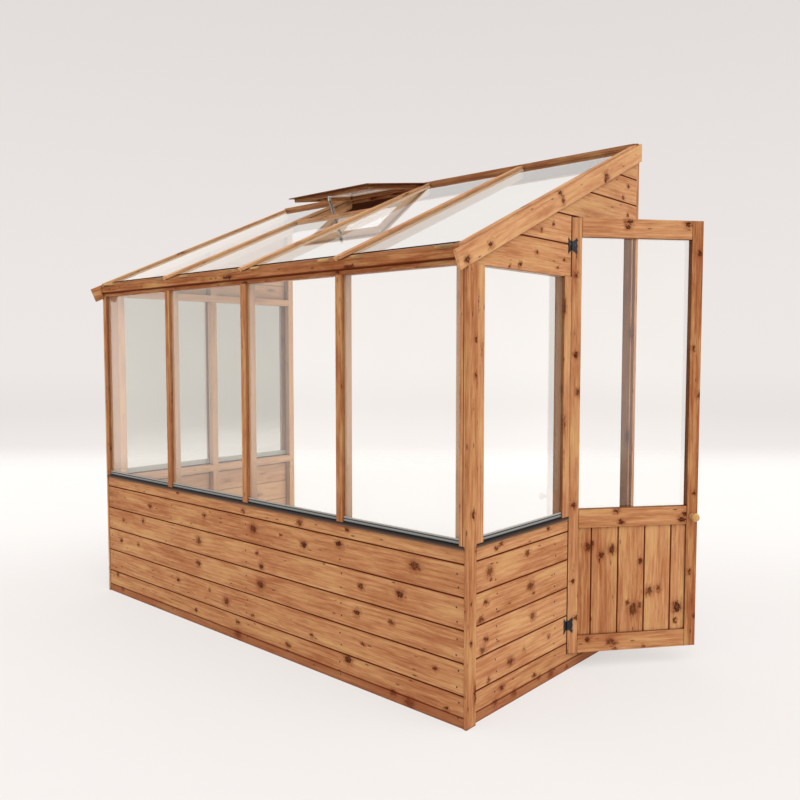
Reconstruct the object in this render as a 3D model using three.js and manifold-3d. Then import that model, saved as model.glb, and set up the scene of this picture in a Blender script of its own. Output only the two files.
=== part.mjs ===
import * as THREE from "three";
import { mergeVertices } from "three/addons/utils/BufferGeometryUtils.js";
import Module from "manifold-3d";

const wasm = await Module();
wasm.setup();

// A lean-to greenhouse in millimetres. X runs along the wall, Y towards it and Z up.
// The origin is on the floor, on the centre line of the front base rail at mid length.

// Overall shape
const BAY_WIDTH = 603;
const WALL_Y = 1250;
const EAVE_HEIGHT = 1678;
const ROOF_RISE_SHARE = 0.442;
const SILL_HEIGHT = 629;
const FRONT_HEAD_DROP_HEIGHT = 74;
const END_HEAD_DROP_HEIGHT = 72;
const DOORWAY_HEAD_RISE_HEIGHT = 170;

// Sections shared by many pieces
const TIMBER_WIDTH = 38;
const BOARD_THICK = 12;
const GLASS_THICK = 4;
const SEAT_GAP = 0.3;
const TONGUE_WIDTH = 12;
const STRIP_WIDTH = 36;
const END_STRIP_WIDTH = 24;
const BEARING_WIDTH = 10;
const GLASS_GAP = 1;

// Cladding boards
const BOTTOM_BOARD_HEIGHT = 114;
const BOARD_COVER_HEIGHT = 116;
const GABLE_BOARD_HEIGHT = 128;
const GABLE_COVER_HEIGHT = 114;
const GROOVE_WIDTH = 8;
const GROOVE_DEPTH = 5;

// Black drip sill, measured out from the frame and up from the boards
const SILL_NOSE_WIDTH = 22;
const SILL_NOSE_HEIGHT = 4;
const SILL_SLOPE_HEIGHT = 12;
const SILL_UPSTAND_WIDTH = 10;
const SILL_UPSTAND_THICK = 4;
const SILL_UPSTAND_HEIGHT = 35;
const SILL_DOOR_GAP = 6;

// Eaves and roof, with depths square to the slope from the top edge of the barge boards
const HEAD_STRIP_HEIGHT = 18;
const BARGE_DEPTH = 70;
const BARGE_OVERHANG_LENGTH = 104;
const CAP_PROUD_HEIGHT = 6;
const RAFTER_DEPTH = 45;
const GLASS_OVERHANG_LENGTH = 4;
const WALL_RAIL_THICK = 32;
const WALL_RAIL_DEPTH = 93;
const WALL_RAIL_EAR_HEIGHT = 39;

// End walls
const WINDOW_STRIP_WIDTH = 50;
const MULLION_MIDDLE_Y = 634.5;
const REAR_TRIM_WIDTH = 24;
const DOORWAY_FRONT_Y = 655.5;
const THRESHOLD_HEIGHT = 68;

// Door, with lengths along the leaf measured from the hinge pin
const DOOR_THICK = 34;
const DOOR_GAP = 1.5;
const DOOR_BOTTOM_HEIGHT = 71.5;
const DOOR_TOP_GAP = 6.5;
const DOOR_BOTTOM_RAIL_WIDTH = 71.5;
const DOOR_MID_RAIL_DROP_HEIGHT = 39;
const DOOR_MID_RAIL_WIDTH = 76;
const DOOR_TOP_RAIL_WIDTH = 75.5;
const HINGE_STILE_WIDTH = 42;
const LOCK_STILE_WIDTH = 48;
const LOCK_EDGE_GAP = 4;
const LIP_EDGE_GAP = 1;
const DOOR_REBATE_WIDTH = 8;
const DOOR_GLASS_DEPTH = 28;
const DOOR_BOARD_RECESS_DEPTH = 8;
const FIRST_DOOR_BOARD_WIDTH = 104;
const DOOR_BOARD_COVER_WIDTH = 117;
const DOOR_REST_DEGREES = 38.44;

// Turned knob
const KNOB_INSET_WIDTH = 25;
const KNOB_DROP_HEIGHT = 7;
const KNOB_LENGTH = 40;
const KNOB_RADIUS = 18;
const KNOB_RADIUS_SHARES = [0, 0.72, 0.72, 0.5, 0.46, 0.66, 0.92, 1, 0.94, 0.74, 0.4, 0];
const KNOB_PROUD_SHARES = [0, 0, 0.09, 0.16, 0.34, 0.46, 0.56, 0.7, 0.83, 0.94, 0.99, 1];

// Butterfly hinges
const LOWER_HINGE_RISE_HEIGHT = 117.5;
const UPPER_HINGE_DROP_HEIGHT = 113.5;
const HINGE_LEAF_THICK = 2;
const HINGE_LEAF_LENGTH = 22.5;
const HINGE_LEAF_HEIGHT = 65;
const HINGE_WAIST_LENGTH = 7;
const HINGE_WAIST_HEIGHT = 36;
const KNUCKLE_RADIUS = 4;
const PIN_RADIUS = 2;

// Roof vent, with lengths down its slope measured from the hinge
const TRANSOM_THICK = 30;
const TRANSOM_LEDGE_WIDTH = 14;
const TRANSOM_DEPTH = 50;
const VENT_BAY_LEFT = -1;
const VENT_WALL_GAP = 4;
const VENT_SIDE_GAP = 3;
const VENT_LENGTH = 477;
const VENT_SIDE_OVERHANG_WIDTH = 22;
const VENT_FRONT_OVERHANG_LENGTH = 21;
const VENT_REAR_GAP = 6;
const VENT_MEMBER_WIDTH = 45;
const VENT_THICK = 20;
const VENT_COVER_THICK = 5;
const VENT_OPEN_DEGREES = 14.6;

// Vent stay
const STAY_X = -317;
const STAY_THICK = 3;
const STAY_WIDTH = 20;
const STAY_LENGTH = 257;
const STAY_SET_BACK_LENGTH = 12;
const STAY_DROP_HEIGHT = 33;
const STAY_LEAN_DEGREES = 22.8;
const STAY_HOLE_RADIUS = 4;
const STAY_FIRST_HOLE_LENGTH = 86;
const STAY_HOLE_PITCH = 30;
const STAY_HOLES = 5;
const PIVOT_RADIUS = 3;
const PIVOT_HEAD_RADIUS = 5;
const BRACKET_THICK = 3;
const BRACKET_WIDTH = 20;
const BRACKET_FLANGE_THICK = 2;
const PEG_HOLE = 2;
const PEG_RADIUS = 3.5;
const PEG_LENGTH = 11;
const PEG_GAP = 0.5;
const PEG_ARM_HEIGHT = 16;

// Colours of the bare materials
const PINE = 0xc6854f;
const PALE_PINE = 0xe0b878;
const BLACK_PLASTIC = 0x24252a;
const CLEAR_GLASS = 0xdfe8ea;
const BLACK_METAL = 0x1e1e20;
const BRIGHT_METAL = 0xa8a8a4;

// Planes that follow from the sizes above
const HALF = 2 * BAY_WIDTH;
const FRAME_FRONT = -TIMBER_WIDTH / 2;
const RIDGE_HEIGHT = EAVE_HEIGHT + ROOF_RISE_SHARE * (WALL_Y - FRAME_FRONT);
const FRONT_HEAD = EAVE_HEIGHT - FRONT_HEAD_DROP_HEIGHT;
const END_HEAD = EAVE_HEIGHT - END_HEAD_DROP_HEIGHT;
const FASCIA_BOTTOM = FRONT_HEAD + HEAD_STRIP_HEIGHT;
const DOORWAY_HEAD = EAVE_HEIGHT + DOORWAY_HEAD_RISE_HEIGHT;
const FRAME_BACK = TIMBER_WIDTH / 2;
const CLADDING_OUT = BOARD_THICK;
const STRIP_OUT = GLASS_THICK + BOARD_THICK;
const FASCIA_OUT = STRIP_OUT + BOARD_THICK;
const CLADDING_X = HALF + BOARD_THICK;
const TRIM_X = CLADDING_X + BOARD_THICK;
const SILL_RAIL_BOTTOM = SILL_HEIGHT - TIMBER_WIDTH;
const GLASS_FOOT = SILL_HEIGHT + SILL_NOSE_HEIGHT;
const STRIP_FOOT = SILL_HEIGHT + SILL_SLOPE_HEIGHT;
const STRIP_NOTCH_OUT = SILL_UPSTAND_WIDTH + SEAT_GAP;
const STRIP_NOTCH_TOP = SILL_HEIGHT + SILL_UPSTAND_HEIGHT + SEAT_GAP;
const REAR_POST_FRONT = WALL_Y - TIMBER_WIDTH;
const REAR_TRIM_FRONT = WALL_Y - REAR_TRIM_WIDTH;
const SLOPE = Math.atan(ROOF_RISE_SHARE);
const GLASS_TOP = CAP_PROUD_HEIGHT;
const GLASS_BOTTOM = GLASS_TOP + GLASS_THICK;
const CAP_BOTTOM = GLASS_TOP - SEAT_GAP;
const RAFTER_TOP = GLASS_BOTTOM + SEAT_GAP;
const RAFTER_BOTTOM = RAFTER_TOP + RAFTER_DEPTH;
const WALL_RAIL_FRONT = WALL_Y - WALL_RAIL_THICK;
const WALL_RAIL_BOTTOM = RIDGE_HEIGHT - WALL_RAIL_DEPTH;
const EAR_BOTTOM = RIDGE_HEIGHT - WALL_RAIL_EAR_HEIGHT;

const PIN_CLEAR = PIN_RADIUS + SEAT_GAP;
const HINGE_PROUD = KNUCKLE_RADIUS + SEAT_GAP;
const HINGE_X = CLADDING_X + HINGE_PROUD;
const HINGE_Y = DOORWAY_FRONT_Y + DOOR_GAP;
const DOOR_FACE = -HINGE_PROUD;
const DOOR_EDGE = DOOR_GAP;
const HINGE_STILE_END = DOOR_EDGE + HINGE_STILE_WIDTH;
const LOCK_STILE_END = REAR_POST_FRONT - LOCK_EDGE_GAP - HINGE_Y;
const LIP_END = REAR_TRIM_FRONT - LIP_EDGE_GAP - HINGE_Y;
const LIP_THICK = CLADDING_OUT - SEAT_GAP;
const LOCK_STILE_START = LIP_END - LOCK_STILE_WIDTH;
const KNOB_ALONG = LIP_END - KNOB_INSET_WIDTH;
const DOOR_TOP = DOORWAY_HEAD - DOOR_TOP_GAP;
const DOOR_MID_RAIL = SILL_HEIGHT - DOOR_MID_RAIL_DROP_HEIGHT;
const KNOB_HEIGHT = SILL_HEIGHT - KNOB_DROP_HEIGHT;
const LOWER_HINGE = DOOR_BOTTOM_HEIGHT + LOWER_HINGE_RISE_HEIGHT;
const UPPER_HINGE = DOOR_TOP - UPPER_HINGE_DROP_HEIGHT;
const HINGE_HEIGHTS = [LOWER_HINGE, UPPER_HINGE];
const DOOR_BOTTOM_RAIL_TOP = DOOR_BOTTOM_HEIGHT + DOOR_BOTTOM_RAIL_WIDTH;
const DOOR_MID_RAIL_TOP = DOOR_MID_RAIL + DOOR_MID_RAIL_WIDTH;
const DOOR_TOP_RAIL = DOOR_TOP - DOOR_TOP_RAIL_WIDTH;

const VENT_HINGE_Y = WALL_RAIL_FRONT - VENT_WALL_GAP;
const VENT_HINGE_Z = roofZ(VENT_HINGE_Y, -CAP_PROUD_HEIGHT - SEAT_GAP);
const VENT_SLOPE = SLOPE - THREE.MathUtils.degToRad(VENT_OPEN_DEGREES);
const VENT_FRAME_END = VENT_LENGTH - VENT_FRONT_OVERHANG_LENGTH;
const STAY_ALONG = VENT_FRAME_END - STAY_SET_BACK_LENGTH;
const TRANSOM_REAR = VENT_HINGE_Y - VENT_FRAME_END * Math.cos(SLOPE) - VENT_SIDE_GAP;
const TRANSOM_FRONT = TRANSOM_REAR - TRANSOM_THICK;
const TRANSOM_LEDGE_END = TRANSOM_FRONT + TRANSOM_LEDGE_WIDTH;

// Height of the roof line at y, lowered square to the slope by a depth
function roofZ(y, depth) {
  return RIDGE_HEIGHT - ROOF_RISE_SHARE * (WALL_Y - y) - depth / Math.cos(SLOPE);
}

// Side outline of a sloping band with plumb ends
function plumbBand(y0, y1, top, bottom) {
  return [
    [y0, roofZ(y0, bottom)],
    [y1, roofZ(y1, bottom)],
    [y1, roofZ(y1, top)],
    [y0, roofZ(y0, top)],
  ];
}

// Side outline of a sloping band whose lower end is square to the slope
function squareBand(y0, y1, top, bottom) {
  const foot = y0 + (bottom - top) * Math.sin(SLOPE);
  return [
    [foot, roofZ(foot, bottom)],
    [y1, roofZ(y1, bottom)],
    [y1, roofZ(y1, top)],
    [y0, roofZ(y0, top)],
  ];
}

// Solid from a geometry, turned right way out
function solidOf(geometry) {
  const bare = new THREE.BufferGeometry();
  const source = geometry.index ? geometry.toNonIndexed() : geometry;
  bare.setAttribute("position", source.getAttribute("position"));
  const merged = mergeVertices(bare);
  const corners = merged.index.array;
  const kept = [];
  for (let i = 0; i < corners.length; i += 3) {
    const [a, b, c] = corners.slice(i, i + 3);
    if (a !== b && b !== c && c !== a) kept.push([a, b, c]);
  }
  const build = (triangles) =>
    new wasm.Manifold(
      new wasm.Mesh({
        numProp: 3,
        vertProperties: merged.getAttribute("position").array,
        triVerts: new Uint32Array(triangles.flat()),
      }),
    );
  const made = build(kept);
  return made.volume() > 0 ? made : build(kept.map(([a, b, c]) => [a, c, b]));
}

// Geometry with flat faces from a solid
function geometryOf(solid) {
  const mesh = solid.getMesh();
  const positions = new Float32Array(mesh.numVert * 3);
  for (let i = 0; i < mesh.numVert; i++) {
    const start = i * mesh.numProp;
    positions.set(mesh.vertProperties.subarray(start, start + 3), i * 3);
  }
  const geometry = new THREE.BufferGeometry();
  geometry.setAttribute("position", new THREE.BufferAttribute(positions, 3));
  geometry.setIndex(new THREE.BufferAttribute(new Uint32Array(mesh.triVerts), 1));
  const flat = geometry.toNonIndexed();
  flat.computeVertexNormals();
  return flat;
}

// Union, difference and common part of solids
function join(...solids) {
  return solids.reduce((sum, solid) => sum.add(solid));
}

function cut(solid, ...tools) {
  return tools.reduce((rest, tool) => rest.subtract(tool), solid);
}

function common(a, b) {
  return a.intersect(b);
}

// Block between two corners
function block(x0, x1, y0, y1, z0, z1) {
  const geometry = new THREE.BoxGeometry();
  const place = geometry.getAttribute("position");
  for (let i = 0; i < place.count; i++) {
    const x = place.getX(i) < 0 ? x0 : x1;
    const y = place.getY(i) < 0 ? y0 : y1;
    const z = place.getZ(i) < 0 ? z0 : z1;
    place.setXYZ(i, x, y, z);
  }
  return solidOf(geometry);
}

// Block on one side of the house, with x measured out from the middle
function sideBlock(side, inner, outer, y0, y1, z0, z1) {
  const xs = [side * inner, side * outer].sort((a, b) => a - b);
  return block(xs[0], xs[1], y0, y1, z0, z1);
}

// Prism of an outline or shape between two planes, with its corners put in place by a function
function prism(outline, start, end, put) {
  const shape = outline instanceof THREE.Shape
    ? outline
    : new THREE.Shape(outline.map(([a, b]) => new THREE.Vector2(a, b)));
  const geometry = new THREE.ExtrudeGeometry(shape, { depth: 1, bevelEnabled: false, curveSegments: 10 });
  const place = geometry.getAttribute("position");
  for (let i = 0; i < place.count; i++) {
    const along = place.getZ(i) > 0 ? end : start;
    place.setXYZ(i, ...put(place.getX(i), place.getY(i), along));
  }
  return solidOf(geometry);
}

function alongX(outline, x0, x1) {
  return prism(outline, x0, x1, (y, z, x) => [x, y, z]);
}

function alongY(outline, y0, y1) {
  return prism(outline, y0, y1, (x, z, y) => [x, y, z]);
}

function alongZ(outline, z0, z1) {
  return prism(outline, z0, z1, (x, y, z) => [x, y, z]);
}

// Prism on one side of the house, from an outline of distances out from the frame and heights
function alongSide(side, outline, y0, y1) {
  const placed = outline.map(([out, z]) => [side * (HALF + out), z]);
  return alongY(placed, y0, y1);
}

// Prism along the front, from an outline of distances out from the frame and heights
function alongFront(outline, x0, x1) {
  const placed = outline.map(([out, z]) => [FRAME_FRONT - out, z]);
  return alongX(placed, x0, x1);
}

function rod(radius, x, y, z0, z1) {
  const geometry = new THREE.CylinderGeometry(radius, radius, z1 - z0, 24);
  geometry.rotateX(Math.PI / 2);
  geometry.translate(x, y, (z0 + z1) / 2);
  return solidOf(geometry);
}

function crossRod(radius, y, z, x0, x1) {
  const geometry = new THREE.CylinderGeometry(radius, radius, x1 - x0, 24);
  geometry.rotateZ(Math.PI / 2);
  geometry.translate((x0 + x1) / 2, y, z);
  return solidOf(geometry);
}

// Materials, a new one for each piece
function pine() {
  return new THREE.MeshStandardMaterial({ color: PINE, roughness: 0.7 });
}

function palePine() {
  return new THREE.MeshStandardMaterial({ color: PALE_PINE, roughness: 0.6 });
}

function blackPlastic() {
  return new THREE.MeshStandardMaterial({ color: BLACK_PLASTIC, roughness: 0.45 });
}

function clearGlass() {
  const look = { color: CLEAR_GLASS, roughness: 0.05, transparent: true, opacity: 0.35 };
  return new THREE.MeshStandardMaterial(look);
}

function blackMetal() {
  return new THREE.MeshStandardMaterial({ color: BLACK_METAL, roughness: 0.5, metalness: 0.8 });
}

function brightMetal() {
  return new THREE.MeshStandardMaterial({ color: BRIGHT_METAL, roughness: 0.35, metalness: 0.9 });
}

const house = new THREE.Group();
house.name = "lean_to_greenhouse";

function piece(name, solid, material, parent = house) {
  const mesh = new THREE.Mesh(geometryOf(solid), material);
  mesh.name = name;
  parent.add(mesh);
  return mesh;
}

// X range of a piece on a bay line, which at the two end lines runs between two planes
function lineSpan(line, half, endInner, endOuter) {
  if (Math.abs(line) < 2) return [line * BAY_WIDTH - half, line * BAY_WIDTH + half];
  const side = Math.sign(line);
  return [side * endInner, side * endOuter].sort((a, b) => a - b);
}

const timberSpan = (line) => lineSpan(line, TIMBER_WIDTH / 2, HALF - TIMBER_WIDTH, HALF);
const tongueSpan = (line) => lineSpan(line, TONGUE_WIDTH / 2, HALF - TONGUE_WIDTH / 2, CLADDING_X);
const stripSpan = (line) => lineSpan(line, STRIP_WIDTH / 2, CLADDING_X - END_STRIP_WIDTH, CLADDING_X);

// Outline of V-jointed boards, with an optional rebate for the glass at the lower inner edge
function boardOutline(bottom, top, first, cover, rebate) {
  const points = rebate
    ? [
        [0, bottom + rebate],
        [GLASS_THICK, bottom + rebate],
        [GLASS_THICK, bottom],
      ]
    : [[0, bottom]];
  points.push([CLADDING_OUT, bottom]);
  for (let line = bottom + first; line < top - GROOVE_WIDTH; line += cover) {
    points.push([CLADDING_OUT, line - GROOVE_WIDTH / 2]);
    points.push([CLADDING_OUT - GROOVE_DEPTH, line]);
    points.push([CLADDING_OUT, line + GROOVE_WIDTH / 2]);
  }
  points.push([CLADDING_OUT, top]);
  points.push([0, top]);
  return points;
}

// Outline of the drip sill
function sillOutline() {
  const inner = SILL_UPSTAND_WIDTH - SILL_UPSTAND_THICK;
  return [
    [0, SILL_HEIGHT],
    [SILL_NOSE_WIDTH, SILL_HEIGHT],
    [SILL_NOSE_WIDTH, GLASS_FOOT],
    [CLADDING_OUT, STRIP_FOOT],
    [SILL_UPSTAND_WIDTH, STRIP_FOOT],
    [SILL_UPSTAND_WIDTH, SILL_HEIGHT + SILL_UPSTAND_HEIGHT],
    [inner, SILL_HEIGHT + SILL_UPSTAND_HEIGHT],
    [inner, GLASS_FOOT],
    [0, GLASS_FOOT],
  ];
}

// Outline of a glazing strip whose foot is notched over the sill
function stripOutline(head) {
  return [
    [STRIP_NOTCH_OUT, STRIP_FOOT],
    [STRIP_OUT, STRIP_FOOT],
    [STRIP_OUT, head],
    [GLASS_THICK, head],
    [GLASS_THICK, STRIP_NOTCH_TOP],
    [STRIP_NOTCH_OUT, STRIP_NOTCH_TOP],
  ];
}

// Front post, halved over the sill rail, with its tongue and glazing strip
function frontPost(line) {
  const [x0, x1] = timberSpan(line);
  const [t0, t1] = tongueSpan(line);
  const [s0, s1] = stripSpan(line);
  const post = block(x0, x1, FRAME_FRONT, FRAME_BACK, TIMBER_WIDTH, FRONT_HEAD);
  const lap = block(x0, x1, 0, FRAME_BACK, SILL_RAIL_BOTTOM, SILL_HEIGHT);
  const tongue = block(t0, t1, FRAME_FRONT - GLASS_THICK, FRAME_FRONT, GLASS_FOOT, FRONT_HEAD);
  const strip = alongFront(stripOutline(FRONT_HEAD), s0, s1);
  return join(cut(post, lap), tongue, strip);
}

// Front sill rail, halved behind each post
function frontSillRail() {
  const rail = block(-HALF, HALF, FRAME_FRONT, FRAME_BACK, SILL_RAIL_BOTTOM, SILL_HEIGHT);
  const laps = [-2, -1, 0, 1, 2].map((line) => {
    const [x0, x1] = timberSpan(line);
    return block(x0, x1, FRAME_FRONT, 0, SILL_RAIL_BOTTOM, SILL_HEIGHT);
  });
  return cut(rail, ...laps);
}

function frontHeadRail() {
  const outline = [
    [FRAME_FRONT, FRONT_HEAD],
    [FRAME_BACK, FRONT_HEAD],
    [FRAME_BACK, roofZ(FRAME_BACK, RAFTER_TOP)],
    [FRAME_FRONT, roofZ(FRAME_FRONT, RAFTER_TOP)],
  ];
  return alongX(outline, -HALF, HALF);
}

// Fascia with the head strip behind it, which holds the tops of the front panes
function eaveFascia() {
  const face = FRAME_FRONT - FASCIA_OUT;
  const stripFace = FRAME_FRONT - STRIP_OUT;
  const stripBack = FRAME_FRONT - GLASS_THICK;
  const glassHead = FRONT_HEAD + BEARING_WIDTH + GLASS_GAP;
  const outline = [
    [face, FASCIA_BOTTOM],
    [stripFace, FASCIA_BOTTOM],
    [stripFace, FRONT_HEAD],
    [stripBack, FRONT_HEAD],
    [stripBack, glassHead],
    [FRAME_FRONT, glassHead],
    [FRAME_FRONT, roofZ(FRAME_FRONT, RAFTER_TOP)],
    [face, roofZ(face, RAFTER_TOP)],
  ];
  return alongX(outline, -CLADDING_X, CLADDING_X);
}

function frontPane(bay) {
  const x0 = tongueSpan(bay)[1];
  const x1 = tongueSpan(bay + 1)[0];
  return block(x0, x1, FRAME_FRONT - GLASS_THICK, FRAME_FRONT, GLASS_FOOT, FRONT_HEAD + BEARING_WIDTH);
}

piece("front_base_rail", block(-HALF, HALF, FRAME_FRONT, FRAME_BACK, 0, TIMBER_WIDTH), pine());
piece("front_sill_rail", frontSillRail(), pine());
piece("front_head_rail", frontHeadRail(), pine());
for (let line = -2; line <= 2; line++) piece(`front_post_${line + 3}`, frontPost(line), pine());
for (let bay = -2; bay < 2; bay++) piece(`front_pane_${bay + 3}`, frontPane(bay), clearGlass());
const lowerBoards = boardOutline(0, SILL_HEIGHT, BOTTOM_BOARD_HEIGHT, BOARD_COVER_HEIGHT, 0);
piece("front_cladding", alongFront(lowerBoards, -CLADDING_X, CLADDING_X), pine());
piece("front_drip_sill", alongFront(sillOutline(), -CLADDING_X, CLADDING_X), blackPlastic());
piece("eave_fascia", eaveFascia(), pine());

// Corner board with the packing behind it beside the glass, cut off under the barge board
function cornerTrim(side) {
  const front = FRAME_FRONT - STRIP_OUT;
  const outline = [
    [front, 0],
    [FRAME_BACK, 0],
    [FRAME_BACK, roofZ(FRAME_BACK, BARGE_DEPTH + SEAT_GAP)],
    [front, roofZ(front, BARGE_DEPTH + SEAT_GAP)],
  ];
  const xs = [side * CLADDING_X, side * TRIM_X].sort((a, b) => a - b);
  const packing = sideBlock(side, HALF, CLADDING_X, FRAME_FRONT, FRAME_BACK, SILL_HEIGHT, END_HEAD);
  return join(alongX(outline, xs[0], xs[1]), packing);
}

function bargeBoard(side) {
  const xs = [side * CLADDING_X, side * TRIM_X].sort((a, b) => a - b);
  return alongX(squareBand(-BARGE_OVERHANG_LENGTH, WALL_Y, 0, BARGE_DEPTH), xs[0], xs[1]);
}

// Stud of an end wall, from the base rail up to the end rafter
function endStud(side, y0, y1) {
  const outline = [
    [y0, TIMBER_WIDTH],
    [y1, TIMBER_WIDTH],
    [y1, roofZ(y1, RAFTER_BOTTOM + SEAT_GAP)],
    [y0, roofZ(y0, RAFTER_BOTTOM + SEAT_GAP)],
  ];
  const xs = [side * (HALF - TIMBER_WIDTH), side * HALF].sort((a, b) => a - b);
  return alongX(outline, xs[0], xs[1]);
}

function endRail(side, y0, y1, bottom) {
  return sideBlock(side, HALF - TIMBER_WIDTH, HALF, y0, y1, bottom, bottom + TIMBER_WIDTH);
}

function endStrip(side, y0, y1) {
  return alongSide(side, stripOutline(END_HEAD), y0, y1);
}

function endTongue(side, y0, y1) {
  return sideBlock(side, HALF, HALF + GLASS_THICK, y0, y1, GLASS_FOOT, END_HEAD);
}

function endPane(side, y0, y1) {
  return sideBlock(side, HALF, HALF + GLASS_THICK, y0, y1, GLASS_FOOT, END_HEAD + BEARING_WIDTH);
}

function rearPost(side) {
  const post = sideBlock(side, HALF - TIMBER_WIDTH, HALF, REAR_POST_FRONT, WALL_Y, 0, WALL_RAIL_BOTTOM);
  const trim = sideBlock(side, HALF, CLADDING_X, REAR_TRIM_FRONT, WALL_Y, 0, EAR_BOTTOM);
  return join(post, trim);
}

// Gable boards, which run up to the roof and stop over a window or over the doorway
function gableCladding(side, doorway) {
  const boards = boardOutline(END_HEAD, RIDGE_HEIGHT, GABLE_BOARD_HEIGHT, GABLE_COVER_HEIGHT, BEARING_WIDTH);
  const run = alongSide(side, boards, FRAME_FRONT, REAR_TRIM_FRONT);
  const over = doorway
    ? [
        [DOORWAY_FRONT_Y, END_HEAD],
        [DOORWAY_FRONT_Y, DOORWAY_HEAD],
        [REAR_TRIM_FRONT, DOORWAY_HEAD],
      ]
    : [[REAR_TRIM_FRONT, END_HEAD]];
  const outline = [
    [FRAME_FRONT, END_HEAD],
    ...over,
    [REAR_TRIM_FRONT, roofZ(REAR_TRIM_FRONT, RAFTER_TOP)],
    [FRAME_FRONT, roofZ(FRAME_FRONT, RAFTER_TOP)],
  ];
  return common(run, alongX(outline, -TRIM_X, TRIM_X));
}

const studFront = [FRAME_BACK, FRAME_BACK + TIMBER_WIDTH];
const jambStud = [DOORWAY_FRONT_Y - TIMBER_WIDTH, DOORWAY_FRONT_Y];
const mullion = [MULLION_MIDDLE_Y - TIMBER_WIDTH / 2, MULLION_MIDDLE_Y + TIMBER_WIDTH / 2];
const glassFront = studFront[1] - BEARING_WIDTH;
const rightGlassRear = jambStud[0] + BEARING_WIDTH;
const leftGlassRear = REAR_POST_FRONT + BEARING_WIDTH;
const mullionTongue = [MULLION_MIDDLE_Y - TONGUE_WIDTH / 2, MULLION_MIDDLE_Y + TONGUE_WIDTH / 2];

// Right end, with the window in front of the doorway
function rightEndFrame() {
  return join(
    endRail(1, FRAME_BACK, REAR_POST_FRONT, 0),
    endStud(1, ...studFront),
    endStud(1, ...jambStud),
    endRail(1, studFront[1], jambStud[0], SILL_RAIL_BOTTOM),
    endRail(1, studFront[1], jambStud[0], END_HEAD),
    endRail(1, DOORWAY_FRONT_Y, REAR_POST_FRONT, DOORWAY_HEAD),
    endTongue(1, FRAME_BACK, glassFront),
    endTongue(1, rightGlassRear, DOORWAY_FRONT_Y),
    endStrip(1, FRAME_BACK, FRAME_BACK + WINDOW_STRIP_WIDTH),
    endStrip(1, DOORWAY_FRONT_Y - WINDOW_STRIP_WIDTH, DOORWAY_FRONT_Y),
  );
}

function rightLowerCladding() {
  const boards = alongSide(1, lowerBoards, FRAME_FRONT, DOORWAY_FRONT_Y);
  const threshold = sideBlock(1, HALF, CLADDING_X, DOORWAY_FRONT_Y, REAR_TRIM_FRONT, 0, THRESHOLD_HEIGHT);
  return join(boards, threshold);
}

piece("right_end_frame", rightEndFrame(), pine());
piece("right_rear_post", rearPost(1), pine());
piece("right_lower_cladding", rightLowerCladding(), pine());
piece("right_gable_cladding", gableCladding(1, true), pine());
const rightSillEnd = DOORWAY_FRONT_Y - SILL_DOOR_GAP;
piece("right_drip_sill", alongSide(1, sillOutline(), FRAME_BACK, rightSillEnd), blackPlastic());
piece("right_pane", endPane(1, glassFront, rightGlassRear), clearGlass());
piece("right_corner_trim", cornerTrim(1), pine());
piece("right_barge", bargeBoard(1), pine());

// Left end, with two windows
function leftEndFrame() {
  return join(
    endRail(-1, FRAME_BACK, REAR_POST_FRONT, 0),
    endStud(-1, ...studFront),
    endStud(-1, ...mullion),
    endRail(-1, studFront[1], mullion[0], SILL_RAIL_BOTTOM),
    endRail(-1, mullion[1], REAR_POST_FRONT, SILL_RAIL_BOTTOM),
    endRail(-1, studFront[1], mullion[0], END_HEAD),
    endRail(-1, mullion[1], REAR_POST_FRONT, END_HEAD),
    rearPost(-1),
    endTongue(-1, FRAME_BACK, glassFront),
    endTongue(-1, ...mullionTongue),
    endTongue(-1, leftGlassRear, REAR_TRIM_FRONT),
    endStrip(-1, FRAME_BACK, FRAME_BACK + WINDOW_STRIP_WIDTH),
    endStrip(-1, MULLION_MIDDLE_Y - WINDOW_STRIP_WIDTH / 2, MULLION_MIDDLE_Y + WINDOW_STRIP_WIDTH / 2),
    endStrip(-1, REAR_TRIM_FRONT - WINDOW_STRIP_WIDTH, REAR_TRIM_FRONT),
  );
}

piece("left_end_frame", leftEndFrame(), pine());
piece("left_lower_cladding", alongSide(-1, lowerBoards, FRAME_FRONT, REAR_TRIM_FRONT), pine());
piece("left_gable_cladding", gableCladding(-1, false), pine());
piece("left_drip_sill", alongSide(-1, sillOutline(), FRAME_BACK, REAR_TRIM_FRONT), blackPlastic());
piece("left_pane_1", endPane(-1, glassFront, mullionTongue[0]), clearGlass());
piece("left_pane_2", endPane(-1, mullionTongue[1], leftGlassRear), clearGlass());
piece("left_corner_trim", cornerTrim(-1), pine());
piece("left_barge", bargeBoard(-1), pine());

// Rail on the wall, whose ears close the ridge behind the barge boards
function wallRail() {
  const rail = block(-HALF, HALF, WALL_RAIL_FRONT, WALL_Y, WALL_RAIL_BOTTOM, RIDGE_HEIGHT);
  const ears = block(-CLADDING_X, CLADDING_X, REAR_TRIM_FRONT, WALL_Y, EAR_BOTTOM, RIDGE_HEIGHT);
  return join(rail, ears);
}

const roofFoot = FRAME_FRONT - FASCIA_OUT;
const rafterFoot = FRAME_BACK + SEAT_GAP;

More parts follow.
